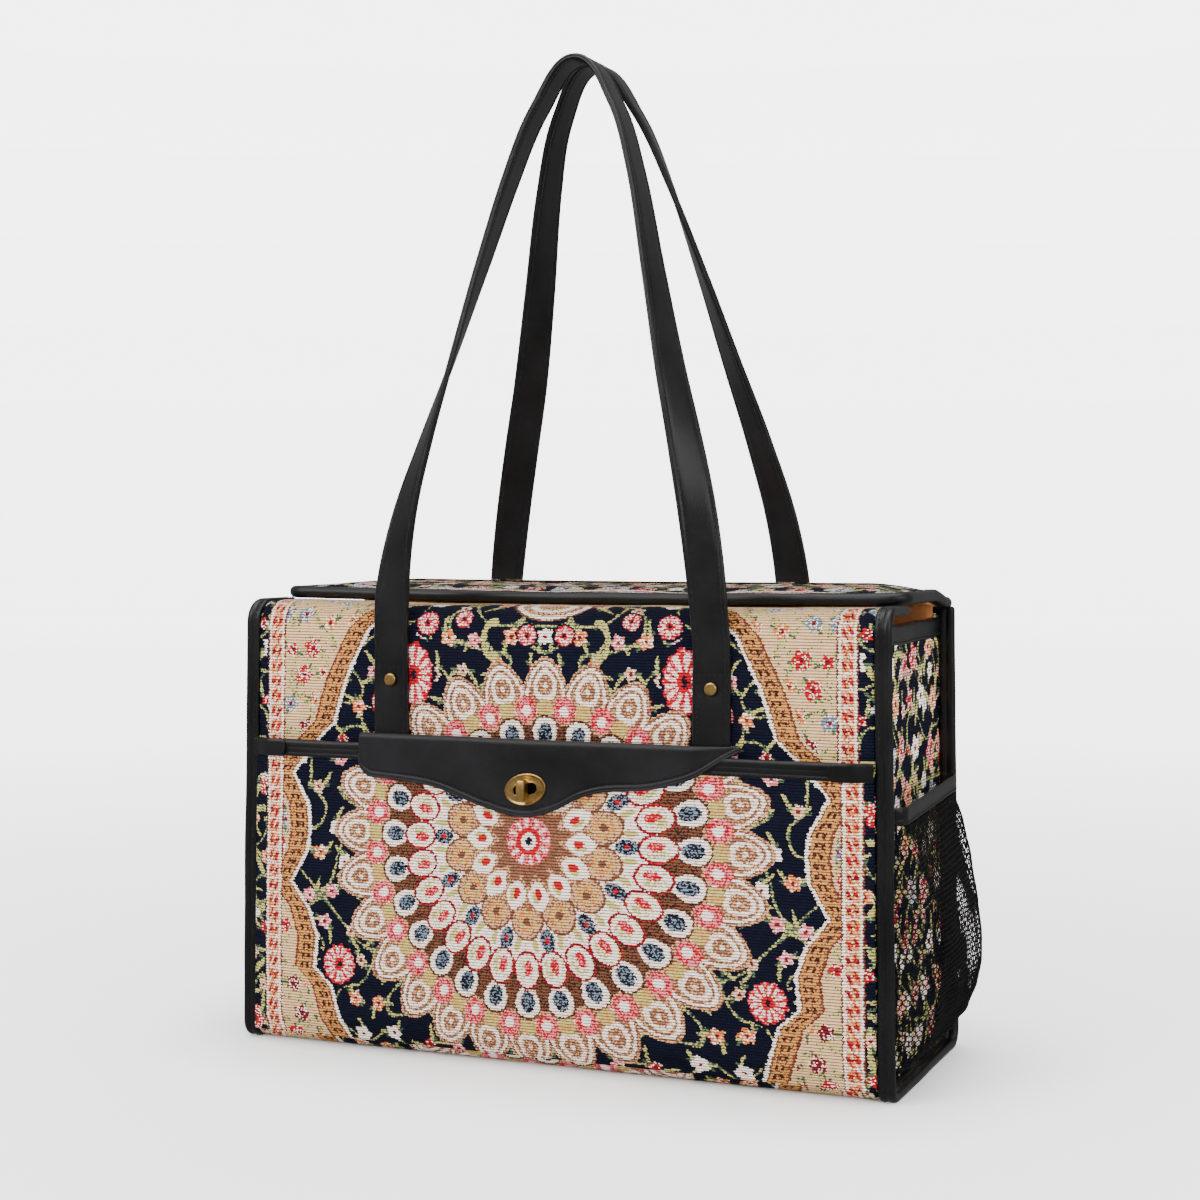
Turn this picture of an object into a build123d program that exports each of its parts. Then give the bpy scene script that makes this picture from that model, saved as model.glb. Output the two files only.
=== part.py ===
from build123d import *
import os
from math import cos, radians, sin

# Carpet bag: a tapestry body with leather-bound ends, a flat lid hinged along the back,
# a front pocket under a leather flap with a turn lock, a netting pocket on the right end
# and two long leather handles.
# Millimetres. +Z up, +X to the right end, -Y to the front. The origin is the centre of
# the base, on the surface that the bag stands on.

# ---- body ----
LENGTH = 446.0            # across the ends, over the bindings
DEPTH = 165.0             # front wall to back wall, outside
SHOULDER_Z = 297.0        # top of the walls
WALL = 4.4                # padded tapestry
SHOULDER_R = 15.0         # roll at the top of the front wall
BASE_R = 12.0             # roll along the bottom edges
MOUTH_FRONT_Y = -32.0     # front edge of the top opening
EASE = 0.15               # between sewn layers
REST_GAP = 0.3            # between pieces that only lie on each other

# ---- leather and lining ----
LEATHER = 1.2
BINDING_WIDTH = 10.0      # how far an end binding covers the wall
BINDING_ROLL = 3.0        # rolled leather outside the sewn edge
PANEL_THICK = 3.0
PANEL_TOP_Z = 285.0
TOP_BAND_HEIGHT = 11.0
TOP_BAND_CLEAR = 2.0      # short of the lining's rolled corner
LINING = 1.0
BOARD_THICK = 3.0
BOARD_MARGIN = 4.0
BOARD_CORNER_R = 14.0

# ---- front pocket ----
POCKET_TOP_Z = 204.0
POCKET_FOOT_Z = 8.0
BAND_CLEAR = 0.65         # from the straps to the band of the pocket
POCKET_PANEL = 1.8
POCKET_SLOPE = 14.0       # how far the panel's edges slope back to the wall
BAND_HEIGHT = 10.0
BAND_LEATHER = 0.9
TAB_LENGTH = 26.0
TAB_THICK = 1.2

# ---- flap and turn lock ----
FLAP_THICK = 1.5
FLAP_TOP_Z = 212.0
FLAP_HALF = 131.0
FLAP_CORNER_R = 12.0
FLAP_TIP_Z = 163.0        # lowest point, under the lock
FLAP_ROOT_HEIGHT = 5.0
FLAP_WAVE = ((-108, 20.5), (-66, 16.5), (-30, 5.5), (-2, 0), (20, 5.5), (37, 14), (54, 18.5),
             (82, 21), (116, 30.5), (137, 44))   # lower edge, from the lock and the lowest point
LOCK_X = -10.5
LOCK_Z = 180.0
PLATE_LONG = 29.0
PLATE_SHORT = 20.5
PLATE_THICK = 1.2
PLATE_TILT = 12.0
SLOT_LONG = 16.0
SLOT_SHORT = 7.0
WASHER_THICK = 0.5
WASHER_RIM = 2.2
LOCK_POST_R = 2.4
LOCK_PIN_R = 1.5
LOCK_PIN_LONG = 4.5
LOCK_RUN = 0.1            # running clearance at the pin
KNOB_WIDE = 6.0
KNOB_TALL = 13.5
KNOB_PROUD = 8.0

# ---- handles and rivets ----
HANDLE_SPACING = 222.0    # between the legs' centre lines
STRAP_WIDTH = 24.5
STRAP_THICK = 4.0
HINGE_Z = 258.0           # where the sewn part of a strap ends
STRAP_FOOT_Z = 200.0
HANDLE_RISE = 397.0       # hinge line to the top of the loop
APEX_Y = 13.0             # centre line of each loop's top from the middle of the bag
APEX_SHIFT = -8.0         # the loops are drawn up a little left of the middle
HINGE_GAP = 0.35
HANDLE_STATIONS = 36
TWIST_START = 0.105       # share of the rise at which a leg starts to turn
FRONT_TWIST = 2.2         # how early the front legs turn
BACK_TWIST = 1.2
RIVET_Z = 246.5
RIVET_CAP_R = 4.2
RIVET_CAP_HIGH = 1.7
RIVET_POST_R = 1.2
RIVET_EASE = 0.15

# ---- netting pocket on the right end ----
NET_MARGIN = 13.5         # from the body's front and back faces to the netting
NET_TOP_Z = 180.0
NET_FOOT_Z = 14.0
NET_THICK = 1.2
NET_TOP_DEPTH = 12.0
NET_BAND_HEIGHT = 11.0
NET_BAND_GRIP = 5.0

# ---- lid ----
LID_SHORT = 1.0           # how far each end of the lid stops short of the body's
LID_FRONT_Y = -38.0
LID_THICK = 8.4
LID_CORNER_R = 14.0
LID_BINDING = 9.0
LID_GAP = 0.4
LID_BACK_SET = 3.0        # from the lid's fold to the back of the bag
LID_LINING = 1.0

FRONT_Y = -DEPTH / 2
HALF_LENGTH = LENGTH / 2
MID = WALL / 2
BINDING_X = HALF_LENGTH - BINDING_WIDTH
PANEL_OUT_X = BINDING_X - EASE
PANEL_IN_X = PANEL_OUT_X - PANEL_THICK
LINING_X = PANEL_IN_X - EASE
EDGE_X = HALF_LENGTH - BINDING_ROLL - EASE
LINING_INSET = WALL + EASE
STRAP_IN = DEPTH / 2 + REST_GAP
STRAP_MID = STRAP_IN + STRAP_THICK / 2
STRAP_OUT = STRAP_IN + STRAP_THICK
POCKET_ROOM = REST_GAP + STRAP_THICK + BAND_CLEAR + BAND_LEATHER + EASE
POCKET_IN = DEPTH / 2 + POCKET_ROOM
POCKET_OUT = POCKET_IN + POCKET_PANEL
BAND_IN = POCKET_IN - BAND_LEATHER - EASE
BAND_OUT = POCKET_OUT + BAND_LEATHER + EASE
FLAP_IN = BAND_OUT + REST_GAP + WASHER_THICK + REST_GAP
FLAP_OUT = FLAP_IN + FLAP_THICK
PLATE_OUT = FLAP_OUT + PLATE_THICK
NET_HALF = DEPTH / 2 - NET_MARGIN
LID_LENGTH = LENGTH - 2 * LID_SHORT
LID_BACK_Y = DEPTH / 2 - LID_BACK_SET
LID_LOW_Z = SHOULDER_Z + LID_GAP
LID_TOP_Z = LID_LOW_Z + LID_THICK
FAR = 1000.0


# ---------------------------------------------------------------- helpers
def outline(inset):
    """Body section, inset from the outside faces: local x is depth, local y is height."""
    half = DEPTH / 2 - inset
    face = make_face(Polyline((-half, inset), (half, inset), (half, SHOULDER_Z - inset),
                              (-half, SHOULDER_Z - inset), close=True))
    low = face.vertices().sort_by(Axis.Y)[:2]
    face = fillet(low, BASE_R - inset)
    shoulder = face.vertices().sort_by(Axis.Y)[-2:].sort_by(Axis.X)[0]
    return fillet(shoulder, SHOULDER_R - inset)


def mouth(inset):
    """The top opening, up to a back wall of this thickness."""
    back = DEPTH / 2 - inset
    return Pos((MOUTH_FRONT_Y + back) / 2, SHOULDER_Z) * Rectangle(back - MOUTH_FRONT_Y, 4 * WALL)


def wall_band(outer, inner):
    """A layer of the wall between two insets, open at the mouth."""
    return outline(outer) - outline(inner) - mouth(inner)


def below(face, top_z):
    """The part of a body section below a height."""
    return face & (Pos(0, top_z - FAR / 2) * Rectangle(FAR, FAR))


def prism(face, x0, x1):
    """A body section drawn out along X."""
    return extrude(Plane.YZ.offset(x0) * face, x1 - x0)


def slab(face, stand, thick):
    """A front view drawn out towards -Y from a distance in front of the middle."""
    return extrude(Plane.XZ.offset(stand) * face, thick)


def block(x0, x1, y0, y1, z0, z1):
    """A box from its limits."""
    centre = Pos((x0 + x1) / 2, (y0 + y1) / 2, (z0 + z1) / 2)
    return centre * Box(x1 - x0, y1 - y0, z1 - z0)


def drilled(shape, holes):
    """A piece with the rivet holes taken out."""
    for hole in holes:
        shape = shape - hole
    return shape


def save(shape, node):
    """Write one piece."""
    shape.label = node
    export_step(shape, "parts/" + node + ".step")


# ---------------------------------------------------------------- body
def rivet_axis(side, front, radius, y0, y1):
    """A cylinder along Y at a rivet, between two distances from the middle."""
    turn = 90 if front < 0 else -90
    spot = Pos(side * HANDLE_SPACING / 2, front * (y0 + y1) / 2, RIVET_Z)
    return spot * Rot(turn, 0, 0) * Cylinder(radius, y1 - y0)


def rivet_holes():
    """Holes for the four rivets, through strap, wall and lining."""
    reach = STRAP_OUT + 1
    start = DEPTH / 2 - LINING_INSET - LINING - 1
    sides = [(side, front) for side in (-1, 1) for front in (-1, 1)]
    return [rivet_axis(side, front, RIVET_POST_R + RIVET_EASE, start, reach)
            for side, front in sides]


def tapestry_wrap():
    """One length of padded tapestry: shoulder, front, base and back."""
    full_x = PANEL_IN_X - EASE
    core = prism(wall_band(0, WALL), -full_x, full_x)
    half_x = BINDING_X - EASE
    step = prism(wall_band(0, MID), -half_x, half_x)
    tongue = prism(wall_band(LEATHER + EASE, MID), -EDGE_X, EDGE_X)
    return core + step + tongue


def end_panel(side):
    """End wall with a turned edge that is sewn into the binding."""
    plate = prism(below(outline(MID + EASE), PANEL_TOP_Z), PANEL_IN_X, PANEL_OUT_X)
    edge = below(outline(MID + EASE) - outline(WALL - LEATHER - EASE), PANEL_TOP_Z)
    panel = plate + prism(edge, PANEL_OUT_X, EDGE_X)
    return panel if side > 0 else mirror(panel, about=Plane.YZ)


def end_binding(side):
    """Leather folded over the sewn edge of wall and end panel."""
    skin = prism(wall_band(0, WALL), BINDING_X, HALF_LENGTH)
    edge = outline(LEATHER) - outline(WALL - LEATHER)
    skin = skin - prism(edge, BINDING_X - 1, HALF_LENGTH - BINDING_ROLL)
    return skin if side > 0 else mirror(skin, about=Plane.YZ)


def top_band(side):
    """Leather folded over the top edge of an end panel and its lining."""
    half = DEPTH / 2 - LINING_INSET - LINING - TOP_BAND_CLEAR
    low = PANEL_TOP_Z - TOP_BAND_HEIGHT
    high = PANEL_TOP_Z + EASE + LEATHER
    x0 = LINING_X - LINING - EASE - LEATHER
    x1 = PANEL_OUT_X + EASE + LEATHER
    cover = block(x0, x1, -half, half, low, high)
    slot = block(x0 + LEATHER, x1 - LEATHER, -half - 1, half + 1, low - 1, high - LEATHER)
    band = cover - slot
    return band if side > 0 else mirror(band, about=Plane.YZ)


def lining():
    """Cloth box inside the walls, cut lower at the ends."""
    inner = outline(LINING_INSET + LINING)
    box = prism(outline(LINING_INSET), -LINING_X, LINING_X)
    box = box - prism(inner, -LINING_X + LINING, LINING_X - LINING)
    above = inner - below(inner, PANEL_TOP_Z)
    box = box - prism(above, -LINING_X - 1, LINING_X + 1)
    return box - prism(mouth(LINING_INSET + LINING), -LINING_X - 1, LINING_X + 1)


def base_board():
    """Loose stiff board on the floor of the bag."""
    floor_z = LINING_INSET + LINING
    half_y = DEPTH / 2 - BASE_R - BOARD_MARGIN / 2
    half_x = LINING_X - LINING - BOARD_MARGIN
    face = RectangleRounded(2 * half_x, 2 * half_y, BOARD_CORNER_R)
    return extrude(Plane.XY.offset(floor_z) * face, BOARD_THICK)


# ---------------------------------------------------------------- front pocket
def pocket_plan(stand, thick):
    """Plan of a strip that follows the pocket panel, from one end to the other."""
    foot = DEPTH / 2 + REST_GAP
    x_out = BINDING_X - EASE
    x_in = x_out - POCKET_SLOPE
    lift = stand - POCKET_IN
    near = [(-x_out, -foot - lift), (-x_in, -stand), (x_in, -stand), (x_out, -foot - lift)]
    far = [(x, y - thick) for x, y in reversed(near)]
    return make_face(Polyline(*near, *far, close=True))


def pocket_strip(stand, thick, z0, z1):
    """A strip of that plan between two heights."""
    return extrude(Plane.XY.offset(z0) * pocket_plan(stand, thick), z1 - z0)


def pocket_panel():
    """Tapestry panel that stands off the wall, sewn down at its sides and foot."""
    foot = DEPTH / 2 + REST_GAP
    turn_z = POCKET_FOOT_Z + POCKET_SLOPE
    panel = pocket_strip(POCKET_IN, POCKET_PANEL, POCKET_FOOT_Z, POCKET_TOP_Z)
    side = [(-foot, POCKET_FOOT_Z), (-POCKET_IN, turn_z), (-FAR, turn_z), (-FAR, 0), (-foot, 0)]
    panel = panel - prism(make_face(Polyline(*side, close=True)), -FAR, FAR)
    sole = [(-foot, POCKET_FOOT_Z), (-foot - POCKET_PANEL, POCKET_FOOT_Z),
            (-POCKET_OUT, turn_z), (-POCKET_IN, turn_z)]
    half_x = BINDING_X - EASE
    base = prism(make_face(Polyline(*sole, close=True)), -half_x, half_x)
    fence = extrude(Plane.XY.offset(0) * pocket_cover(), POCKET_TOP_Z)
    return panel + (base & fence)


def pocket_cover():
    """Plan of everything between the wall and the outside of the pocket panel."""
    foot = DEPTH / 2 + REST_GAP
    x_out = BINDING_X - EASE
    x_in = x_out - POCKET_SLOPE
    points = [(-x_out, -foot), (-x_out, -foot - POCKET_PANEL), (-x_in, -POCKET_OUT),
              (x_in, -POCKET_OUT), (x_out, -foot - POCKET_PANEL), (x_out, -foot)]
    return make_face(Polyline(*points, close=True))


def pocket_band():
    """Leather folded over the top edge of the pocket panel."""
    low = POCKET_TOP_Z - BAND_HEIGHT
    high = POCKET_TOP_Z + EASE
    inner = pocket_strip(BAND_IN, BAND_LEATHER, low, high)
    outer = pocket_strip(POCKET_OUT + EASE, BAND_LEATHER, low, high)
    cap = pocket_strip(BAND_IN, BAND_OUT - BAND_IN, high, high + BAND_LEATHER)
    band = inner + outer + cap
    return band & block(-PANEL_IN_X, PANEL_IN_X, -FAR, 0, 0, FAR)


def pocket_tab(side):
    """Small leather patch over each end of the band."""
    low = POCKET_TOP_Z - BAND_HEIGHT - 1
    strip = pocket_strip(BAND_OUT + EASE, TAB_THICK, low, POCKET_TOP_Z + BAND_LEATHER)
    x0 = PANEL_IN_X - TAB_LENGTH
    tab = strip & block(x0, PANEL_IN_X, -FAR, 0, 0, FAR)
    return tab if side > 0 else mirror(tab, about=Plane.YZ)


# ---------------------------------------------------------------- flap and lock
def flap_face():
    """Front view of the flap: straight top, waved lower edge that dips at the lock."""
    wave = [(LOCK_X + x, FLAP_TIP_Z + z) for x, z in FLAP_WAVE]
    left_x, low_z = wave[0]
    bend = FLAP_CORNER_R * (1 - 0.5 ** 0.5)
    corner = ThreePointArc((-FLAP_HALF, low_z + FLAP_CORNER_R),
                           (-FLAP_HALF + bend, low_z + bend),
                           (-FLAP_HALF + FLAP_CORNER_R, low_z))
    step = Line((-FLAP_HALF + FLAP_CORNER_R, low_z), (left_x, low_z))
    lower = Spline(*wave)
    sides = Polyline(wave[-1], (FLAP_HALF, FLAP_TOP_Z), (-FLAP_HALF, FLAP_TOP_Z),
                     (-FLAP_HALF, low_z + FLAP_CORNER_R))
    return make_face([corner, step, lower, sides])


def oval(long, short, tilt):
    """An oval at the lock, turned in the plane of the flap."""
    return Pos(LOCK_X, LOCK_Z) * Rot(0, 0, tilt) * Ellipse(long / 2, short / 2)


def slot_face(grow):
    """The slot that the knob passes through."""
    return Pos(LOCK_X, LOCK_Z) * SlotOverall(SLOT_LONG + grow, SLOT_SHORT + grow)


def pocket_flap():
    """Leather flap: sewn to the wall, over the band, and down the front."""
    front = slab(flap_face() - slot_face(0.6), FLAP_IN, FLAP_THICK)
    back_low = POCKET_TOP_Z + EASE + BAND_LEATHER + REST_GAP
    back_in = STRAP_OUT + REST_GAP
    back = block(-FLAP_HALF, FLAP_HALF, -back_in - FLAP_THICK, -back_in, back_low, FLAP_TOP_Z)
    fold = block(-FLAP_HALF, FLAP_HALF, -FLAP_OUT, -back_in,
                 FLAP_TOP_Z - FLAP_THICK, FLAP_TOP_Z)
    reach = HANDLE_SPACING / 2 - STRAP_WIDTH / 2 - 1
    root = block(-reach, reach, -back_in, FRONT_Y - REST_GAP, back_low,
                 back_low + FLAP_ROOT_HEIGHT)
    return front + back + fold + root


def flap_eyelet_plate():
    """Oval brass plate on the flap, around the slot."""
    face = oval(PLATE_LONG, PLATE_SHORT, PLATE_TILT) - slot_face(0)
    return slab(face, FLAP_OUT, PLATE_THICK)


def flap_eyelet_washer():
    """Brass back plate behind the flap."""
    face = slot_face(2 * WASHER_RIM) - slot_face(0)
    return slab(face, FLAP_IN - WASHER_THICK, WASHER_THICK)


def lock_base():
    """Brass plate on the pocket panel, with the post through the slot."""
    face = Pos(LOCK_X, LOCK_Z) * RectangleRounded(SLOT_LONG + 4, SLOT_SHORT + 5, 3)
    plate = slab(face, POCKET_OUT, PLATE_THICK - 0.2)
    post_face = Pos(LOCK_X, LOCK_Z) * Circle(LOCK_POST_R)
    post = slab(post_face, POCKET_OUT, PLATE_OUT + LOCK_RUN - POCKET_OUT)
    pin_face = Pos(LOCK_X, LOCK_Z) * Circle(LOCK_PIN_R)
    pin = slab(pin_face, POCKET_OUT, PLATE_OUT + LOCK_RUN - POCKET_OUT + LOCK_PIN_LONG)
    return plate + post + pin


def lock_back_plate():
    """Brass plate behind the pocket panel that the lock base is clenched to."""
    face = Pos(LOCK_X, LOCK_Z) * RectangleRounded(SLOT_LONG + 2, SLOT_SHORT + 3, 3)
    return slab(face, POCKET_IN - WASHER_THICK, WASHER_THICK)


def lock_knob():
    """Turning bar on the pin, upright when the flap is locked."""
    start = PLATE_OUT + 2 * LOCK_RUN
    face = Pos(LOCK_X, LOCK_Z) * SlotOverall(KNOB_TALL, KNOB_WIDE, rotation=90)
    bar = slab(face, start, KNOB_PROUD)
    rim = bar.faces().sort_by(Axis.Y)[0].edges()
    bar = fillet(rim, KNOB_WIDE / 6)
    bore_face = Pos(LOCK_X, LOCK_Z) * Circle(LOCK_PIN_R + LOCK_RUN)
    return bar - slab(bore_face, start - 1, LOCK_PIN_LONG + 1 + LOCK_RUN)


# ---------------------------------------------------------------- handles
def handle_points():
    """Left half of the route as shares of rise, spacing and lean, then the right half."""
    shares = [(0.00, 1.000, 1.000), (0.12, 0.980, 1.030), (0.24, 0.915, 0.980),
              (0.36, 0.812, 0.860), (0.48, 0.695, 0.720), (0.64, 0.550, 0.490),
              (0.80, 0.402, 0.250), (0.92, 0.245, 0.080)]
    foot = HINGE_Z + HINGE_GAP
    rise = HINGE_Z + HANDLE_RISE - foot
    points = []
    for side in (-1, 1):
        leg = []
        for up, out, lean in shares:
            x = side * out * HANDLE_SPACING / 2 + APEX_SHIFT * up * up
            y = APEX_Y + lean * (STRAP_MID - APEX_Y)
            leg.append(Vector(x, -y, foot + up * rise))
        points.append(leg)
    top = Vector(APEX_SHIFT, -APEX_Y, foot + rise)
    return points[0] + [top] + list(reversed(points[1]))


def handle_corners(path, share, twist):
    """Corners of the strap's section at a share of its length."""
    foot = HINGE_Z + HINGE_GAP
    spot = path @ share
    along = path % share
    up = (spot.Z - foot) / (HINGE_Z + HANDLE_RISE - foot)
    turned = min(max((up - TWIST_START) / (1 - TWIST_START), 0), 1)
    quarter = 90 * (1 - (1 - turned) ** twist)
    turn = quarter if share <= 0.5 else 180 - quarter
    across = Vector(cos(radians(turn)), -sin(radians(turn)), 0)
    across = (across - along * across.dot(along)).normalized() * (STRAP_WIDTH / 2)
    through = across.cross(along).normalized() * (STRAP_THICK / 2)
    return [spot - across - through, spot + across - through,
            spot + across + through, spot - across + through]


def handle_loop(twist):
    """Front strap loop that twists a quarter turn up each leg."""
    path = Spline(*handle_points(), tangents=((0, 0, 1), (0, 0, -1)))
    cuts = [handle_corners(path, index / HANDLE_STATIONS, twist)
            for index in range(HANDLE_STATIONS + 1)]
    faces = [Face(Wire.make_polygon(cuts[0])), Face(Wire.make_polygon(cuts[-1]))]
    for low, high in zip(cuts, cuts[1:]):
        for here in range(4):
            there = (here + 1) % 4
            faces.append(Face(Wire.make_polygon([low[here], low[there], high[there]])))
            faces.append(Face(Wire.make_polygon([low[here], high[there], high[here]])))
    return Solid(Shell(faces))


def strap_anchor(side):
    """Sewn foot of a front strap, flat on the wall, drilled for its rivet."""
    x = side * HANDLE_SPACING / 2
    foot = block(x - STRAP_WIDTH / 2, x + STRAP_WIDTH / 2, -STRAP_OUT, -STRAP_IN,
                 STRAP_FOOT_Z, HINGE_Z - HINGE_GAP)
    return drilled(foot, rivet_holes())


def rivet(side, front):
    """Domed cap and post."""
    wall_in = DEPTH / 2 - LINING_INSET - LINING
    post = rivet_axis(side, front, RIVET_POST_R, wall_in - REST_GAP, STRAP_OUT + REST_GAP)
    cap = rivet_axis(side, front, RIVET_CAP_R, STRAP_OUT, STRAP_OUT + RIVET_CAP_HIGH)
    rim = cap.faces().sort_by(Axis.Y)[0 if front < 0 else -1].edges()
    return fillet(rim, RIVET_CAP_HIGH * 0.8) + post


def rivet_back(side, front):
    """Flat cap inside the bag."""
    wall_in = DEPTH / 2 - LINING_INSET - LINING
    return rivet_axis(side, front, RIVET_CAP_R, wall_in - REST_GAP - 1.2, wall_in - REST_GAP)


# ---------------------------------------------------------------- netting pocket
def net_plan(depth, half):
    """Rounded plan of the netting, standing off the end panel."""
    r = 0.6 * depth
    bend = r * (1 - 0.5 ** 0.5)
    lines = [Line((0, -half), (depth - r, -half)),
             ThreePointArc((depth - r, -half), (depth - bend, -half + bend), (depth, -half + r)),
             Line((depth, -half + r), (depth, half - r)),
             ThreePointArc((depth, half - r), (depth - bend, half - bend), (depth - r, half)),
             Line((depth - r, half), (0, half)), Line((0, half), (0, -half))]
    return make_face(lines)


def net_loft(depths, shrink):
    """Solid through plans at several heights."""
    start = PANEL_OUT_X + REST_GAP
    cuts = [Pos(start, 0, z) * net_plan(depth - shrink, NET_HALF - shrink)
            for z, depth in depths]
    return loft(cuts, ruled=True)


def net_pocket():
    """Netting bag, open at the top, fullest below the middle."""
    neck_z = NET_TOP_Z - NET_BAND_HEIGHT
    outside = [(NET_FOOT_Z, 8.0), (NET_FOOT_Z + 18, 23.0), (NET_FOOT_Z + 52, 32.0),
               (NET_FOOT_Z + 90, 31.0), (neck_z - 20, 20.0), (neck_z, NET_TOP_DEPTH),
               (neck_z + NET_BAND_GRIP, NET_TOP_DEPTH)]
    skin = net_loft(outside, 0)
    inside = [(z + (NET_THICK if index == 0 else 0), depth)
              for index, (z, depth) in enumerate(outside)]
    inside.append((NET_TOP_Z + 5, NET_TOP_DEPTH))
    hollow = net_loft(inside, NET_THICK)
    shift = Pos(-REST_GAP, 0, 0) * hollow
    return skin - hollow - shift


def net_band():
    """Leather band that grips the top edge of the netting."""
    neck_z = NET_TOP_Z - NET_BAND_HEIGHT
    start = PANEL_OUT_X + REST_GAP
    low = neck_z + 0.5
    out = NET_THICK / 2 + EASE + 0.4

    def ring(depth, wide, thick, z0, z1):
        """Plan ring of the band between two heights."""
        outer = Pos(start, 0, z0) * net_plan(depth, wide)
        inner = Pos(start - REST_GAP, 0, z0) * net_plan(depth - thick, wide - thick)
        return extrude(outer, z1 - z0) - extrude(inner, z1 - z0)

    whole = ring(NET_TOP_DEPTH + out, NET_HALF + out, NET_THICK + 2 * out, low, NET_TOP_Z)
    slot_top = neck_z + NET_BAND_GRIP + EASE
    slot = ring(NET_TOP_DEPTH + EASE, NET_HALF + EASE, NET_THICK + 2 * EASE, low - 1, slot_top)
    return whole - slot


# ---------------------------------------------------------------- lid
def lid_plan(inset, back):
    """Plan of the lid with rounded front corners, inset on three sides."""
    half = LID_LENGTH / 2 - inset
    front = LID_FRONT_Y + inset
    face = make_face(Polyline((-half, back), (-half, front), (half, front), (half, back),
                              close=True))
    corners = face.vertices().sort_by(Axis.Y)[:2]
    return fillet(corners, LID_CORNER_R - inset)


def lid_layer(face, z0, z1):
    """A lid layer between two heights."""
    return extrude(Plane.XY.offset(z0) * face, z1 - z0)


def lid_panel():
    """Padded tapestry panel with a thin sewn edge."""
    back = LID_BACK_Y
    low = LID_LOW_Z + LID_LINING + EASE
    field = lid_layer(lid_plan(LID_BINDING + EASE, back), low, LID_TOP_Z)
    edge = lid_layer(lid_plan(BINDING_ROLL + EASE, back), LID_LOW_Z + LID_THICK / 2 - 1,
                     LID_LOW_Z + LID_THICK / 2 + 1)
    return field + edge


def lid_binding():
    """Leather folded over the front and side edges of the lid."""
    back = LID_BACK_Y
    skin = lid_layer(lid_plan(0, back) - lid_plan(LID_BINDING, back + 1), LID_LOW_Z, LID_TOP_Z)
    slot = lid_layer(lid_plan(BINDING_ROLL, back + 1), LID_LOW_Z + LID_THICK / 2 - 1 - EASE,
                     LID_LOW_Z + LID_THICK / 2 + 1 + EASE)
    return skin - slot


def lid_lining():
    """Lining cloth under the lid."""
    return lid_layer(lid_plan(LID_BINDING + EASE, LID_BACK_Y), LID_LOW_Z, LID_LOW_Z + LID_LINING)


# ---------------------------------------------------------------- write the pieces
def main():
    """Build every piece and write it."""
    os.makedirs("parts", exist_ok=True)
    holes = rivet_holes()
    save(drilled(tapestry_wrap(), holes), "tapestry_wrap")
    save(drilled(lining(), holes), "lining")
    save(base_board(), "base_board")
    for side, name in ((-1, "left"), (1, "right")):
        save(end_panel(side), name + "_end_panel")
        save(end_binding(side), name + "_end_binding")
        save(top_band(side), name + "_top_band")
        save(pocket_tab(side), "pocket_tab_" + name)
        anchor = strap_anchor(side)
        save(anchor, "front_strap_anchor_" + name)
        save(mirror(anchor, about=Plane.XZ), "back_strap_anchor_" + name)
        for front, face in ((-1, "front"), (1, "back")):
            save(rivet(side, front), face + "_rivet_" + name)
            save(rivet_back(side, front), face + "_rivet_cap_" + name)
    save(pocket_panel(), "front_pocket_panel")
    save(pocket_band(), "pocket_band")
    save(pocket_flap(), "pocket_flap")
    save(flap_eyelet_plate(), "flap_eyelet_plate")
    save(flap_eyelet_washer(), "flap_eyelet_washer")
    save(lock_base(), "lock_base")
    save(lock_back_plate(), "lock_back_plate")
    save(lock_knob(), "lock_knob")
    save(handle_loop(FRONT_TWIST), "front_handle")
    save(mirror(handle_loop(BACK_TWIST), about=Plane.XZ), "back_handle")
    save(net_pocket(), "right_mesh_pocket")
    save(net_band(), "mesh_pocket_band")
    save(lid_panel(), "lid_panel")
    save(lid_binding(), "lid_binding")
    save(lid_lining(), "lid_lining")


main()
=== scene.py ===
"""Carpet bag: shaped cloth, leather, brass and their finishes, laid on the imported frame."""
import logging
import math
from dataclasses import dataclass, field
from enum import Enum
from typing import Callable, Iterator, Sequence

import bmesh
import bpy
from mathutils import Matrix, Vector, geometry, noise


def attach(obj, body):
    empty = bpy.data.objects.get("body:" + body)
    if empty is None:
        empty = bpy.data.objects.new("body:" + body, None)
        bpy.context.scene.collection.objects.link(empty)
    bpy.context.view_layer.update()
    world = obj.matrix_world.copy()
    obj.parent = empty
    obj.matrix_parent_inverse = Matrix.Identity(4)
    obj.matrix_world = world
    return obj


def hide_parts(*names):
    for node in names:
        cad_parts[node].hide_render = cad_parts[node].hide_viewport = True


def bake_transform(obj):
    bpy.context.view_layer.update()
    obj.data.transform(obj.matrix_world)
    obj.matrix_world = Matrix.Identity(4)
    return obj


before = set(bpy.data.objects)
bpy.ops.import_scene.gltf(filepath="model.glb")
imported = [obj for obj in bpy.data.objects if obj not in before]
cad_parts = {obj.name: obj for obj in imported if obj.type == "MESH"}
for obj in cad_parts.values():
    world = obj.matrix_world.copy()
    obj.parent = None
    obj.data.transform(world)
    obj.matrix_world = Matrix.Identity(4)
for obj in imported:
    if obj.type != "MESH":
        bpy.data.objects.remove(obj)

log = logging.getLogger("carpet_bag")

MM = 0.001                      # metres in a millimetre
TURN = 2 * math.pi              # one turn in radians
FRONT, UP = (0.0, -1.0, 0.0), (0.0, 0.0, 1.0)
SIDES = ((-1, "left"), (1, "right"))

Spot = tuple[float, float]
Place = Callable[[float, float], Vector]
Pattern = Callable[[float, float], Spot]
Colour = tuple[float, float, float, float]


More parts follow.
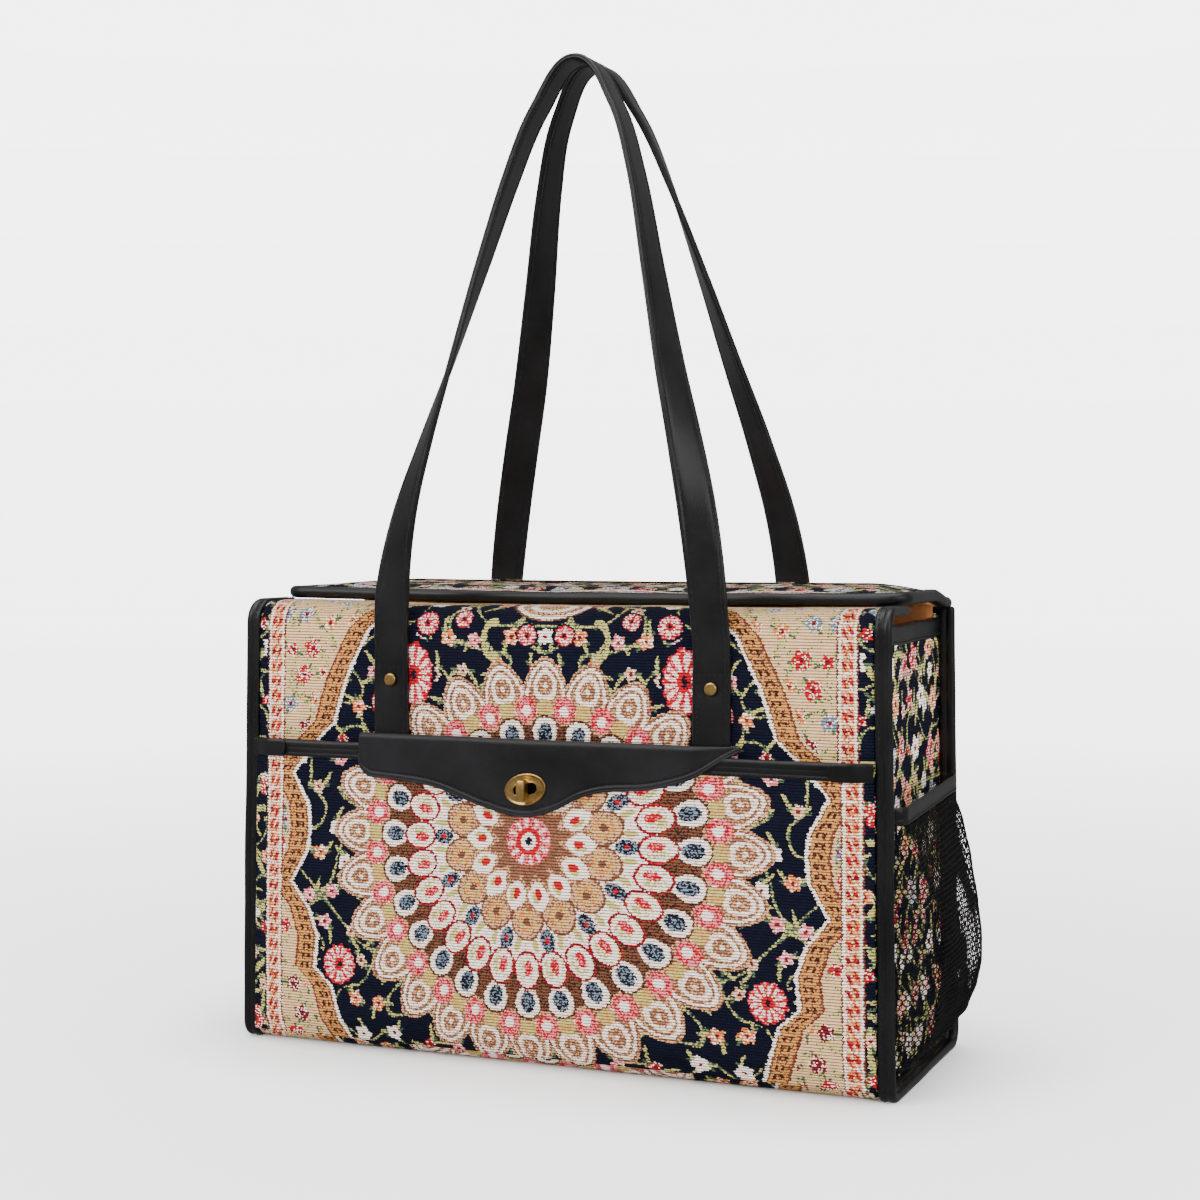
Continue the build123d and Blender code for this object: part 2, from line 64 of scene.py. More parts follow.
# ------------------------------------------------------------------ small sums
def smooth(value: float, low: float, high: float) -> float:
    """Ease from 0 at low to 1 at high.

    Args:
        value: where to read the ease.
        low: where it starts.
        high: where it ends.

    Returns:
        A share from 0 to 1.
    """
    share = min(max((value - low) / (high - low), 0.0), 1.0)
    return share * share * (3 - 2 * share)


def mound(distance: float, width: float) -> float:
    """Bell shape: 1 in the middle, near 0 beyond twice the width."""
    return math.exp(-(distance / width) ** 2)


def ripple(x: float, y: float, z: float, size: float, seed: float = 0.0) -> float:
    """Soft unevenness of cloth and hand-cut leather.

    Args:
        x: place along X, in millimetres.
        y: place along Y.
        z: place along Z.
        size: width of one wave.
        seed: moves the pattern, so that pieces differ.

    Returns:
        A number from about -1 to 1.
    """
    return noise.noise(Vector((x / size + seed, y / size, z / size)))


def trace(distance: float, start: Spot, out: float, runs: Sequence[Spot]) -> tuple[Spot, Spot]:
    """Follow a line of straights and of bends to the left.

    Args:
        distance: how far along the line.
        start: where it starts.
        out: direction to its right at the start, in degrees.
        runs: length and radius of each run; the radius is 0 on a straight.

    Returns:
        The spot, and the direction to the line's right there.
    """
    x, y = start
    angle = math.radians(out)
    for length, radius in runs:
        gone = min(distance, length)
        distance -= gone
        if radius:
            x, y = x - radius * math.cos(angle), y - radius * math.sin(angle)
            angle += gone / radius
            x, y = x + radius * math.cos(angle), y + radius * math.sin(angle)
        else:
            x, y = x - gone * math.sin(angle), y + gone * math.cos(angle)
    return (x, y), (math.cos(angle), math.sin(angle))


def round_section(radius: float, corners: int) -> list[Spot]:
    """Corners of a round section."""
    steps = (step * TURN / corners for step in range(corners))
    return [(radius * math.cos(angle), radius * math.sin(angle)) for angle in steps]


def linear(red: int, green: int, blue: int) -> Colour:
    """Turn a display colour into the renderer's linear colour."""
    parts = [(part / 255) ** 2.2 for part in (red, green, blue)]
    return (parts[0], parts[1], parts[2], 1.0)


# ------------------------------------------------------------------ shader bench
class Wire:
    """A value in a material that takes part in sums."""

    def __init__(self, bench: "Bench", socket: bpy.types.NodeSocket) -> None:
        """Hold a socket and the bench that it lives on."""
        self.bench = bench
        self.socket = socket

    def __add__(self, other: "Wire | float") -> "Wire":
        """Add."""
        return self.bench.maths("ADD", self, other)

    def __sub__(self, other: "Wire | float") -> "Wire":
        """Subtract."""
        return self.bench.maths("SUBTRACT", self, other)

    def __rsub__(self, other: float) -> "Wire":
        """Subtract from a number."""
        return self.bench.maths("SUBTRACT", other, self)

    def __mul__(self, other: "Wire | float") -> "Wire":
        """Multiply."""
        return self.bench.maths("MULTIPLY", self, other)

    def __truediv__(self, other: "Wire | float") -> "Wire":
        """Divide."""
        return self.bench.maths("DIVIDE", self, other)

    def __lt__(self, other: "Wire | float") -> "Wire":
        """1 where this is less."""
        return self.bench.maths("LESS_THAN", self, other)

    def __gt__(self, other: "Wire | float") -> "Wire":
        """1 where this is more."""
        return self.bench.maths("GREATER_THAN", self, other)

    def __abs__(self) -> "Wire":
        """Distance from zero."""
        return self.bench.maths("ABSOLUTE", self)

    __radd__ = __add__
    __rmul__ = __mul__

    def apply(self, operation: str, *others: "Wire | float") -> "Wire":
        """Run another Math operation on this value."""
        return self.bench.maths(operation, self, *others)


class Bench:
    """A material's node tree, and the one way that nodes are added to it."""

    def __init__(self, name: str) -> None:
        """Start a material with only its shader and output."""
        self.material = bpy.data.materials.new(name)
        self.material.use_nodes = True
        self.tree = self.material.node_tree
        self.shader = self.tree.nodes["Principled BSDF"]

    def node(self, kind: str, settings: dict | None = None,
             inputs: dict | None = None) -> bpy.types.Node:
        """Add a node.

        Args:
            kind: the node's type, without its ShaderNode prefix.
            settings: the node's own properties; stops fill a colour ramp and points a curve.
            inputs: values or wires by socket name or number.

        Returns:
            The node.
        """
        made = self.tree.nodes.new("ShaderNode" + kind)
        for name, value in (settings or {}).items():
            if name == "stops":
                self._fill_ramp(made.color_ramp, value)
            elif name == "points":
                self._fill_curve(made.mapping, value)
            else:
                setattr(made, name, value)
        for key, value in (inputs or {}).items():
            self.feed(made.inputs[key], value)
        return made

    def feed(self, socket: bpy.types.NodeSocket, value: object) -> None:
        """Link a wire to a socket, or set the socket's own value."""
        if isinstance(value, Wire):
            self.tree.links.new(value.socket, socket)
        else:
            socket.default_value = value

    @staticmethod
    def _fill_ramp(ramp: bpy.types.ColorRamp, stops: Sequence[tuple[float, Colour]]) -> None:
        """Give a colour ramp its stepped stops."""
        while len(ramp.elements) < len(stops):
            ramp.elements.new(1.0)
        for element, (position, colour) in zip(ramp.elements, stops):
            element.position = position
            element.color = colour
        ramp.interpolation = "CONSTANT"

    @staticmethod
    def _fill_curve(mapping: bpy.types.CurveMapping, points: Sequence[Spot]) -> None:
        """Give a float curve its points, joined by straight lines."""
        curve = mapping.curves[0]
        while len(curve.points) < len(points):
            curve.points.new(1.0, 1.0)
        for knot, (x, y) in zip(curve.points, points):
            knot.location = (x, y)
            knot.handle_type = "VECTOR"
        mapping.update()

    def wire(self, node: bpy.types.Node, output: int | str = 0) -> Wire:
        """Take one of a node's outputs as a value."""
        return Wire(self, node.outputs[output])

    def maths(self, operation: str, *values: "Wire | float") -> Wire:
        """Add a Math node."""
        inputs = dict(enumerate(values))
        return self.wire(self.node("Math", {"operation": operation}, inputs))

    def mix(self, share: "Wire | float", first: "Wire | Colour", second: "Wire | Colour",
            blend: str = "MIX") -> Wire:
        """Mix two colours.

        Args:
            share: 0 gives the first colour and 1 the second.
            first: colour at 0.
            second: colour at 1.
            blend: the Mix node's way of mixing.

        Returns:
            The mixed colour.
        """
        settings = {"data_type": "RGBA", "blend_type": blend}
        return self.wire(self.node("Mix", settings, {0: share, 6: first, 7: second}), 2)

    def ease(self, value: Wire, low: float, high: float, least: float) -> Wire:
        """Rise smoothly from the least value at low to 1 at high."""
        return self.wire(self.node("MapRange", {"interpolation_type": "SMOOTHSTEP"},
                                   {0: value, 1: low, 2: high, 3: least}))

    def place(self, output: str = "Object") -> Wire:
        """Coordinates of the piece: Object, or UV for its own pattern map."""
        return self.wire(self.node("TexCoord"), output)

    def axes(self, where: Wire) -> list[Wire]:
        """Split a place in metres into its three distances in millimetres."""
        spread = self.node("VectorMath", {"operation": "SCALE"}, {0: where, "Scale": 1 / MM})
        parts = self.node("SeparateXYZ", None, {0: self.wire(spread)})
        return [self.wire(parts, index) for index in range(3)]

    def dice(self, *cell: "Wire | float") -> tuple[Wire, list[Wire]]:
        """Throw dice for a cell.

        Args:
            cell: the cell's two or three numbers.

        Returns:
            One random number from 0 to 1, and a set of three more.
        """
        where = self.wire(self.node("CombineXYZ", None, dict(enumerate(cell))))
        settings = {"noise_dimensions": f"{len(cell)}D"}
        chance = self.node("TexWhiteNoise", settings, {"Vector": where})
        split = self.node("SeparateColor", None, {0: self.wire(chance, 1)})
        return self.wire(chance), [self.wire(split, index) for index in range(3)]

    def fog(self, where: Wire, scale: float, detail: float = 2.0) -> Wire:
        """Noise from 0 to 1 over a place."""
        inputs = {"Vector": where, "Scale": scale, "Detail": detail}
        return self.wire(self.node("TexNoise", None, inputs))

    def finish(self, colour: "Wire | Colour", roughness: "Wire | float",
               height: Wire | None = None, depth: float = 0.0002,
               strength: float = 1.0, **fixed: object) -> bpy.types.Material:
        """Connect the shader.

        Args:
            colour: base colour.
            roughness: roughness.
            height: relief, from 0 to 1.
            depth: the relief's depth in metres.
            strength: how much of the relief shows.
            fixed: values set on the shader's own sockets, with _ for a space.

        Returns:
            The finished material.
        """
        self.feed(self.shader.inputs["Base Color"], colour)
        self.feed(self.shader.inputs["Roughness"], roughness)
        if height is not None:
            bump = self.node("Bump", None,
                             {"Strength": strength, "Distance": depth, "Height": height})
            self.feed(self.shader.inputs["Normal"], self.wire(bump))
        for name, value in fixed.items():
            self.shader.inputs[name.replace("_", " ")].default_value = value
        return self.material


# ------------------------------------------------------------------ finishes
class Thread(Enum):
    """Yarns that the carpet is woven from."""

    NAVY = linear(27, 34, 58)
    INK = linear(34, 42, 60)
    BEIGE = linear(208, 185, 149)
    TAN = linear(202, 168, 134)
    GOLD = linear(194, 148, 94)
    TAUPE = linear(142, 107, 86)
    BROWN = linear(122, 88, 68)
    BARK = linear(74, 50, 42)
    WHITE = linear(231, 225, 217)
    ROSE = linear(212, 134, 140)
    RED = linear(182, 36, 52)
    MAROON = linear(128, 34, 50)
    ORANGE = linear(208, 134, 78)
    OLIVE = linear(184, 182, 122)
    MOSS = linear(96, 114, 92)
    SLATE = linear(124, 138, 150)


class Tapestry:
    """Carpet cloth: a round medallion, a navy ground, a gold band and borders.

    The design is worked out once for each stitch, so its edges step as woven ones do. It
    reads the piece's pattern map, which holds the distance from the medallion's centre.
    """

    STITCH = 0.95               # width of a stitch in millimetres
    ROW = 0.95                  # height of a row
    BAND = ((0.0, 168), (15, 170), (36, 182), (54, 168), (72, 162), (92, 164), (104, 151),
            (125, 145), (136, 141), (166, 126), (184, 108), (196, 80), (206, 0))
    GUARD_X = 190.5             # where the guard stripe starts, across
    GUARD_Y = 246.0             # and along
    GUARD_WIDE = 13.4

    def __init__(self, bench: Bench) -> None:
        """Work out where each stitch lies."""
        self.bench = bench
        x, y, _ = bench.axes(bench.place("UV"))
        row = (y / self.ROW).apply("FLOOR")
        shift = row.apply("FLOORED_MODULO", 2.0) * 0.5
        column = x / self.STITCH + shift
        self.across = column.apply("FRACT")
        self.along = (y / (self.ROW * 2)).apply("FRACT")
        column = column.apply("FLOOR")
        self.fleck, (first, second, _) = bench.dice(column, row)
        self.x = (column - shift + 0.5 + (first - 0.5) * 1.1) * self.STITCH
        self.y = (row + 0.5 + (second - 0.5) * 0.5) * self.ROW
        self.side = abs(self.x)
        self.mirror = bench.wire(bench.node("CombineXYZ", None, {0: self.side, 1: self.y}))
        self.radius = (self.x * self.x + self.y * self.y).apply("SQRT")
        self.angle = self.x.apply("ARCTAN2", self.y * -1.0)
        self.colour: Wire | Colour = Thread.NAVY.value

    def paint(self, mask: Wire, thread: Thread, other: Thread | None = None,
              share: float = 0.35) -> None:
        """Lay a thread where the mask is 1.

        Args:
            mask: where it goes.
            thread: the thread.
            other: a second thread that shows in some of the stitches.
            share: share of the stitches that the second thread takes.
        """
        top: Wire | Colour = thread.value
        if other:
            top = self.bench.mix(self.fleck < share, thread.value, other.value)
        self.colour = self.bench.mix(mask, self.colour, top)

    def petals(self, count: int, radius: float, half: bool = False) -> tuple[Wire, Wire]:
        """Coordinates round the nearest of a ring of equal motifs.

        Args:
            count: motifs in the ring.
            radius: the ring's radius.
            half: start half a step round.

        Returns:
            Distance round the ring and distance outwards, from the motif's middle.
        """
        step = self.angle * (count / TURN) + (0.0 if half else 0.5)
        around = (step.apply("FRACT") - 0.5) * (TURN / count)
        return around * self.radius, self.radius - radius

    @staticmethod
    def egg(across: Wire, out: Wire, wide: float, tall: float) -> Wire:
        """1 at the rim of an oval, less inside."""
        first, second = across / wide, out / tall
        return (first * first + second * second).apply("SQRT")

    def nest(self, rim: Wire, *discs: tuple) -> None:
        """Lay discs, the widest first: each has its edge, and then what paint takes."""
        for edge, *threads in discs:
            self.paint(rim < edge, *threads)

    def oval(self, across: Wire, out: Wire, wide: float, tall: float, thread: Thread,
             other: Thread | None = None, share: float = 0.35) -> None:
        """Lay a thread in an oval; the arguments are those of egg and paint."""
        self.paint(self.egg(across, out, wide, tall) < 1.0, thread, other, share)

    def flowers(self, area: Wire, pitch: float, size: float, seed: float,
                sorts: Sequence[Thread]) -> None:
        """Scatter small flowers, each with a pair of curved leaves.

        Args:
            area: where they may grow.
            pitch: distance between them.
            size: radius of a flower.
            seed: moves them.
            sorts: threads of the flowers.
        """
        bench = self.bench
        high = self.y / pitch + seed
        rank = high.apply("FLOOR")
        wide = self.side / pitch + rank.apply("FLOORED_MODULO", 2.0) * 0.5
        file = wide.apply("FLOOR")
        _, (first, second, third) = bench.dice(file, rank, seed)
        x = (wide.apply("FRACT") - 0.5 - (first - 0.5) * 0.4) * pitch
        y = (high.apply("FRACT") - 0.5 - (second - 0.5) * 0.4) * pitch
        tilt = (first + second) * TURN
        cosine, sine = tilt.apply("COSINE"), tilt.apply("SINE")
        length = x * cosine + y * sine
        width = y * cosine - x * sine
        reach = self.egg(abs(length) - size * 1.55, width + length * length * (0.35 / size),
                         size * 0.85, size * 0.34)
        self.paint(area * (reach < 1.0), Thread.OLIVE, Thread.MOSS, 0.2)
        stem = (abs(width) < 0.8) * (abs(length) < size * 1.6)
        self.paint(area * stem, Thread.MOSS)
        reach = (x * x + y * y).apply("SQRT")
        lobe = (x.apply("ARCTAN2", y) * 5.0).apply("SINE") * (size * 0.16)
        body = (reach + lobe) < (third * (size * 0.4) + size * 0.66)
        stops = [(index / len(sorts), sort.value) for index, sort in enumerate(sorts)]
        ramp = bench.node("ValToRGB", {"stops": stops}, {0: third})
        dark = bench.mix(self.fleck < 0.3, bench.wire(ramp), Thread.WHITE.value)
        self.colour = bench.mix(area * body, self.colour, dark)
        self.paint(area * (reach < size * 0.24), Thread.MAROON)

    def ground(self) -> None:
        """Navy ground with vines and flowers, the great flowers and the corner sprays."""
        vine = abs(self.bench.fog(self.mirror, 1 / 34, 0.0) - 0.5) < 0.014
        self.paint(vine, Thread.OLIVE, Thread.MOSS, 0.5)
        self.flowers(self.radius > 0.0, 23.0, 5.2, 0.35,
                     (Thread.RED, Thread.TAN, Thread.ROSE, Thread.ORANGE, Thread.WHITE))
        for x, y, wide, tall in ((146, -89, 12, 13), (94, 137, 14, 21), (84, 171, 8, 8),
                                 (58, 174, 6, 6), (118, 118, 7, 9), (13, 164, 6.5, 6.5)):
            across, out = self.side - x, self.y - y
            spokes = (across.apply("ARCTAN2", out) * 13.0).apply("SINE")
            rim = self.egg(across, out, wide, tall) + spokes * 0.05
            self.nest(rim, (1.2, Thread.NAVY), (1.0, Thread.RED, Thread.ROSE, 0.25))
            self.paint((rim < 0.93) * (rim > 0.36) * (spokes > -0.15), Thread.WHITE,
                       Thread.ROSE, 0.3)
            self.paint((rim < 0.36) * (rim > 0.16), Thread.RED)
            self.paint(rim < 0.16, Thread.INK)
        rim = self.egg(self.side - 36, self.y - 161, 8.5, 14.0)
        self.paint((rim < 1.0) * (rim > 0.6) * (self.side > 33), Thread.OLIVE, Thread.MOSS, 0.12)
        rim = self.egg(self.side, self.y - 190, 27, 17)
        self.nest(rim, (1.0, Thread.BROWN), (0.93, Thread.WHITE, Thread.TAN, 0.12),
                  (0.78, Thread.TAN, Thread.BROWN, 0.4))
        self.paint((rim < 0.6) * (rim > 0.42), Thread.WHITE, Thread.TAN, 0.12)

    def borders(self) -> None:
        """Beige field, gold band, guard stripe and outer border."""
        bench = self.bench
        spare, reach = 20, 220
        points = [(y / reach, (x + spare) / reach) for y, x in self.BAND] + [(1.0, 0.0)]
        high = abs(self.y).apply("MINIMUM", 219.0)
        curve = bench.node("FloatCurve", {"points": points}, {"Value": high / reach})
        off = self.side + spare - bench.wire(curve) * reach
        rim = (self.side - self.GUARD_X).apply("MAXIMUM", abs(self.y) - self.GUARD_Y)
        within = rim < 0.0
        self.paint(within * (off > 0.0), Thread.BEIGE, Thread.TAN, 0.22)
        spray = (bench.fog(self.mirror, 1 / 9, 2.0) > 0.54) * (self.fleck < 0.45)
        self.paint(within * (off > 18.0) * spray, Thread.OLIVE, Thread.MOSS, 0.15)
        self.flowers(within * (off > 19.0), 18.5, 5.9, 7.15,
                     (Thread.RED, Thread.ORANGE, Thread.MAROON, Thread.SLATE, Thread.RED))
        band = within * (off > 0.0)
        self.paint(band * (off < 16.5), Thread.BROWN, Thread.MAROON)
        self.paint(band * (off < 15.0), Thread.GOLD, Thread.BROWN, 0.2)
        self.paint(band * (off < 2.5), Thread.WHITE)
        self.paint(band * (abs(off - 3.2) < 0.7), Thread.BROWN, Thread.GOLD, 0.3)
        mark = (self.y / 6.2).apply("FRACT") < 0.55
        bars = abs(abs(off - 8.6) - 2.1) < 1.0
        self.paint(band * mark * bars, Thread.BARK, Thread.BROWN, 0.25)
        cap = ((self.y / 6.2).apply("FRACT") > 0.4) * (abs(off - 8.6) < 1.6)
        self.paint(band * mark * cap, Thread.BROWN, Thread.BARK, 0.3)
        guard = rim > 0.0
        self.paint(guard * (rim < self.GUARD_WIDE), Thread.WHITE, Thread.TAN, 0.12)
        self.paint(guard * (rim < 1.0), Thread.BROWN, Thread.MAROON)
        self.paint(guard * (abs(rim - 6.9) < 3.9), Thread.ORANGE, Thread.TAN, 0.45)
        run = ((self.y + self.side) / 10.0).apply("FRACT")
        zigzag = abs(abs(run - 0.5) * 13.0 + 3.7 - rim) < 1.4
        self.paint(guard * (rim < 10.4) * zigzag, Thread.MAROON, Thread.RED, 0.5)
        zigzag = abs(10.1 - abs(run - 0.5) * 13.0 - rim) < 0.9
        self.paint(guard * (rim > 3.2) * zigzag, Thread.WHITE, Thread.ORANGE, 0.25)
        seam = guard * (rim > self.GUARD_WIDE - 0.9)
        self.paint(seam * (rim < self.GUARD_WIDE), Thread.BROWN, Thread.MAROON)
        outer = rim > self.GUARD_WIDE
        self.flowers(outer * (rim > 14.5), 31.0, 9.2, 3.6,
                     (Thread.RED, Thread.WHITE, Thread.ORANGE, Thread.RED, Thread.SLATE))
        wave = abs(abs(self.y) - 270.5 - (self.x / 17.0).apply("SINE") * 3.0)
        crest = outer * (self.side < 165)
        self.paint(crest * (wave < 3.6), Thread.WHITE, Thread.TAN, 0.15)
        self.paint(crest * (wave < 1.2), Thread.RED, Thread.BROWN, 0.5)

    def medallion(self) -> None:
        """The medallion's rings, from its scrolled edge in to its centre."""
        radius = self.radius
        across, out = self.petals(28, 131.0)
        lean = out / 60.0 + 1.0
        rim = self.egg(across * lean, out, 14.6, 18.5)
        self.paint((rim < 1.08).apply("MAXIMUM", radius < 133.0), Thread.TAN, Thread.TAUPE, 0.4)
        self.nest(rim, (0.96, Thread.BROWN, Thread.TAUPE, 0.3),
                  (0.91, Thread.WHITE, Thread.TAN, 0.12), (0.76, Thread.TAUPE, Thread.TAN, 0.35))
        swirl = abs(across).apply("ARCTAN2", out) / TURN + rim * 2.1
        self.paint((rim < 0.68) * (swirl.apply("FRACT") < 0.4), Thread.WHITE, Thread.TAN, 0.15)
        self.paint(radius < 113.5, Thread.TAN, Thread.TAUPE, 0.35)
        across, out = self.petals(28, 118.0, True)
        self.oval(across, out, 7.4, 8.6, Thread.ROSE, Thread.RED, 0.42)
        self.oval(across, out + 1.0, 3.2, 3.6, Thread.WHITE)
        block = (abs(across) < 6.4) * (out + 10.0 < 0.0)
        self.paint(block * (radius > 88.0), Thread.BROWN, Thread.BARK, 0.3)
        across, out = self.petals(28, 102.0)
        self.oval(across, out - 16.0, 5.6, 6.0, Thread.OLIVE, Thread.GOLD, 0.4)
        self.paint(radius < 94.0, Thread.BROWN, Thread.BARK, 0.4)
        rim = self.egg(across * (1.0 - out / 50.0), out, 8.2, 10.4)
        self.nest(rim, (1.14, Thread.BROWN, Thread.BARK, 0.4),
                  (1.0, Thread.WHITE, Thread.TAN, 0.08))
        self.oval(across, out, 4.9, 7.0, Thread.SLATE, Thread.INK, 0.55)
        self.paint(radius < 82.0, Thread.WHITE, Thread.ROSE, 0.08)
        across, out = self.petals(28, 82.0)
        rim = self.egg(across, out, 9.1, 12.5)
        self.nest(rim, (1.0, Thread.MAROON, Thread.RED, 0.3),
                  (0.86, Thread.WHITE, Thread.OLIVE, 0.14))
        self.oval(across + 3.0, out, 2.6, 6.4, Thread.OLIVE, Thread.WHITE, 0.4)
        self.oval(across - 1.2, out + 1.5, 2.8, 5.6, Thread.RED, Thread.ROSE)
        across, out = self.petals(14, 63.5, True)
        self.oval(across, out, 4.6, 7.4, Thread.SLATE, Thread.INK, 0.5)
        self.oval(across, out, 1.5, 1.8, Thread.RED)
        sprig = self.egg(abs(across) - 8.6, out - 2.5, 1.9, 5.0)
        self.paint(sprig < 1.0, Thread.OLIVE)
        across, out = self.petals(14, 50.5)
        rim = self.egg(across, out, 11.4, 12.6)
        self.nest(rim, (1.0, Thread.BROWN), (0.88, Thread.TAN, Thread.TAUPE, 0.3))
        self.paint((rim < 0.56) * (rim > 0.3), Thread.ORANGE, Thread.OLIVE, 0.5)
        self.paint(rim < 0.2, Thread.BROWN)
        self.paint(radius < 44.0, Thread.TAUPE, Thread.TAN, 0.45)
        across, out = self.petals(14, 35.5, True)
        rim = self.egg(across, out, 6.9, 9.4) * 0.55 + (abs(across) / 6.9 + abs(out) / 9.4) * 0.4
        self.paint(rim < 1.0, Thread.WHITE)
        self.oval(across + 2.4, out, 1.9, 4.2, Thread.OLIVE)
        self.oval(across, out + 1.5, 2.3, 3.6, Thread.RED)
        star = (self.angle * 14.0).apply("COSINE") * 3.6 + 24.5
        self.paint(radius < star, Thread.TAUPE, Thread.BROWN, 0.4)
        self.paint(radius < 15.6, Thread.ROSE, Thread.RED, 0.4)
        check = (self.angle * 12.0).apply("SINE") > 0.25
        self.paint(check * (radius > 9.0) * (radius < 14.4), Thread.WHITE, Thread.ROSE)
        self.paint((radius < 8.6) * (radius > 5.4), Thread.RED)
        self.nest(radius, (5.4, Thread.WHITE), (2.4, Thread.INK))

    def weave(self) -> bpy.types.Material:
        """Shade the rows and stitches and finish the cloth."""
        bench = self.bench
        ridge = 1.0 - abs(self.along * 2.0 - 1.0)
        bead = 1.0 - abs(self.across * 2.0 - 1.0)
        gap = ridge < 0.3
        shade = bench.mix(1.0, self.colour, linear(136, 96, 90), "MULTIPLY")
        colour = bench.mix(gap * 0.9, self.colour, shade)
        shade = bench.mix(1.0, colour, linear(205, 196, 192), "MULTIPLY")
        colour = bench.mix((bead < 0.22) * 0.8, colour, shade)
        tone = bench.fog(bench.place("UV"), 160.0, 3.0)
        dull = bench.mix(1.0, colour, linear(212, 208, 206), "MULTIPLY")
        colour = bench.mix(tone * 0.55, colour, dull)
        height = ridge.apply("POWER", 0.6) * 0.7 + bead * 0.3
        rough = self.fleck * 0.12 + 0.82
        deep = bench.node("Gamma", None, {0: colour, 1: 1.32})
        return bench.finish(bench.wire(deep), rough, height, 0.0005, 0.85,
                            Specular_IOR_Level=0.12)

    @classmethod
    def make(cls, name: str) -> bpy.types.Material:
        """Weave the whole carpet."""
        cloth = cls(Bench(name))
        cloth.ground()
        cloth.borders()
        cloth.medallion()
        return cloth.weave()


@dataclass(frozen=True)
class Leather:
    """Smooth dyed leather with a fine grain and a soft, uneven sheen."""

    name: str
    dye: Colour
    worn: Colour
    roughness: float = 0.42
    grain: float = 1500.0

    def make(self) -> bpy.types.Material:
        """Build the leather."""
        bench = Bench(self.name)
        place = bench.place()
        cloud = bench.fog(place, 26.0, 4.0)
        fine = bench.fog(place, 900.0, 2.0)
        colour = bench.mix((cloud * 1.6 - 0.35).apply("MAXIMUM", 0.0), self.dye, self.worn)
        pores = bench.node("TexVoronoi", None, {"Vector": place, "Scale": self.grain})
        height = bench.wire(pores) * 0.6 + fine * 0.5 + cloud * 0.6
        rough = cloud * 0.2 + fine * 0.08 + (self.roughness - 0.12)
        return bench.finish(colour, rough, height, 0.00022, 0.55, Specular_IOR_Level=0.42)


@dataclass(frozen=True)
class Metal:
    """Cast metal, darker where it has tarnished."""

    name: str
    bright: Colour
    dark: Colour
    roughness: float = 0.24

    def make(self) -> bpy.types.Material:
        """Build the metal."""
        bench = Bench(self.name)
        place = bench.place()
        cloud = bench.fog(place, 160.0, 5.0)
        fine = bench.fog(place, 1600.0, 2.0)
        colour = bench.mix((cloud * 2.0 - 0.75).apply("MAXIMUM", 0.0), self.bright, self.dark)
        rough = cloud * 0.25 + self.roughness - 0.06
        return bench.finish(colour, rough, fine * 0.5 + cloud, 0.00008, 0.5, Metallic=1.0)


@dataclass(frozen=True)
class Cloth:
    """Plain woven cloth or cord, in a fine twill."""

    name: str
    yarn: Colour
    shade: Colour
    pitch: float = 0.9
    roughness: float = 0.85

    def make(self) -> bpy.types.Material:
        """Build the cloth."""
        bench = Bench(self.name)
        place = bench.place()
        x, y, z = bench.axes(place)
        first = ((x + y + z) * (TURN / self.pitch)).apply("SINE")
        second = ((x - z + y * 0.3) * (TURN / self.pitch)).apply("SINE")
        cloud = bench.fog(place, 40.0, 4.0)
        fine = bench.fog(place, 700.0, 2.0)
        thread = first * 0.3 + second * 0.2 + 0.5
        colour = bench.mix(thread * 0.6 + cloud * 0.5 - 0.1, self.shade, self.yarn)
        return bench.finish(colour, fine * 0.1 + self.roughness, thread + cloud * 1.5, 0.0003,
                            0.6, Specular_IOR_Level=0.25)


# ------------------------------------------------------------------ mesh bench
def add(name: str, data: bpy.types.ID) -> bpy.types.Object:
    """Put a new object in the scene."""
    made = bpy.data.objects.new(name, data)
    bpy.context.scene.collection.objects.link(made)
    return made


def lay_grid(columns: int, rows: int, place: Place,
             pattern: Pattern | None = None) -> bmesh.types.BMesh:
    """Lay a grid of cells on a surface.

    Args:
        columns: cells across.
        rows: cells along.
        place: gives the spot in millimetres from the shares across and along.
        pattern: gives the carpet's own coordinates, in millimetres, from the same shares.

    Returns:
        The mesh, in metres, with its pattern map.
    """
    mesh = bmesh.new()
    bmesh.ops.create_grid(mesh, x_segments=columns, y_segments=rows, size=0.5)
    layer = mesh.loops.layers.uv.new("pattern")
    if pattern:
        for face in mesh.faces:
            for loop in face.loops:
                spot = loop.vert.co
                u, v = pattern(spot.x + 0.5, spot.y + 0.5)
                loop[layer].uv = (u * MM, v * MM)
    for vert in mesh.verts:
        vert.co = place(vert.co.x + 0.5, vert.co.y + 0.5) * MM
    return mesh


def lay_loop(section: Sequence[Spot], rows: int, place: Callable[[Spot, float], Vector],
             ring: bool = False) -> bmesh.types.BMesh:
    """Draw a closed section along a path.

    Args:
        section: corners of the section.
        rows: cells along the path.
        place: gives the spot from a corner and the share of the path.
        ring: the path closes on itself, so there are no ends to close.

    Returns:
        The mesh, closed, with its faces outwards.
    """
    count = len(section)

    def corner(across: float, along: float) -> Vector:
        """Spot of the nearest corner."""
        return place(section[round(across * count) % count], along)

    mesh = lay_grid(count, rows, corner)
    bmesh.ops.remove_doubles(mesh, verts=mesh.verts, dist=1e-6)
    if not ring:
        rim = [edge for edge in mesh.edges if edge.is_boundary]
        bmesh.ops.holes_fill(mesh, edges=rim, sides=0)
    bmesh.ops.recalc_face_normals(mesh, faces=mesh.faces)
    return mesh


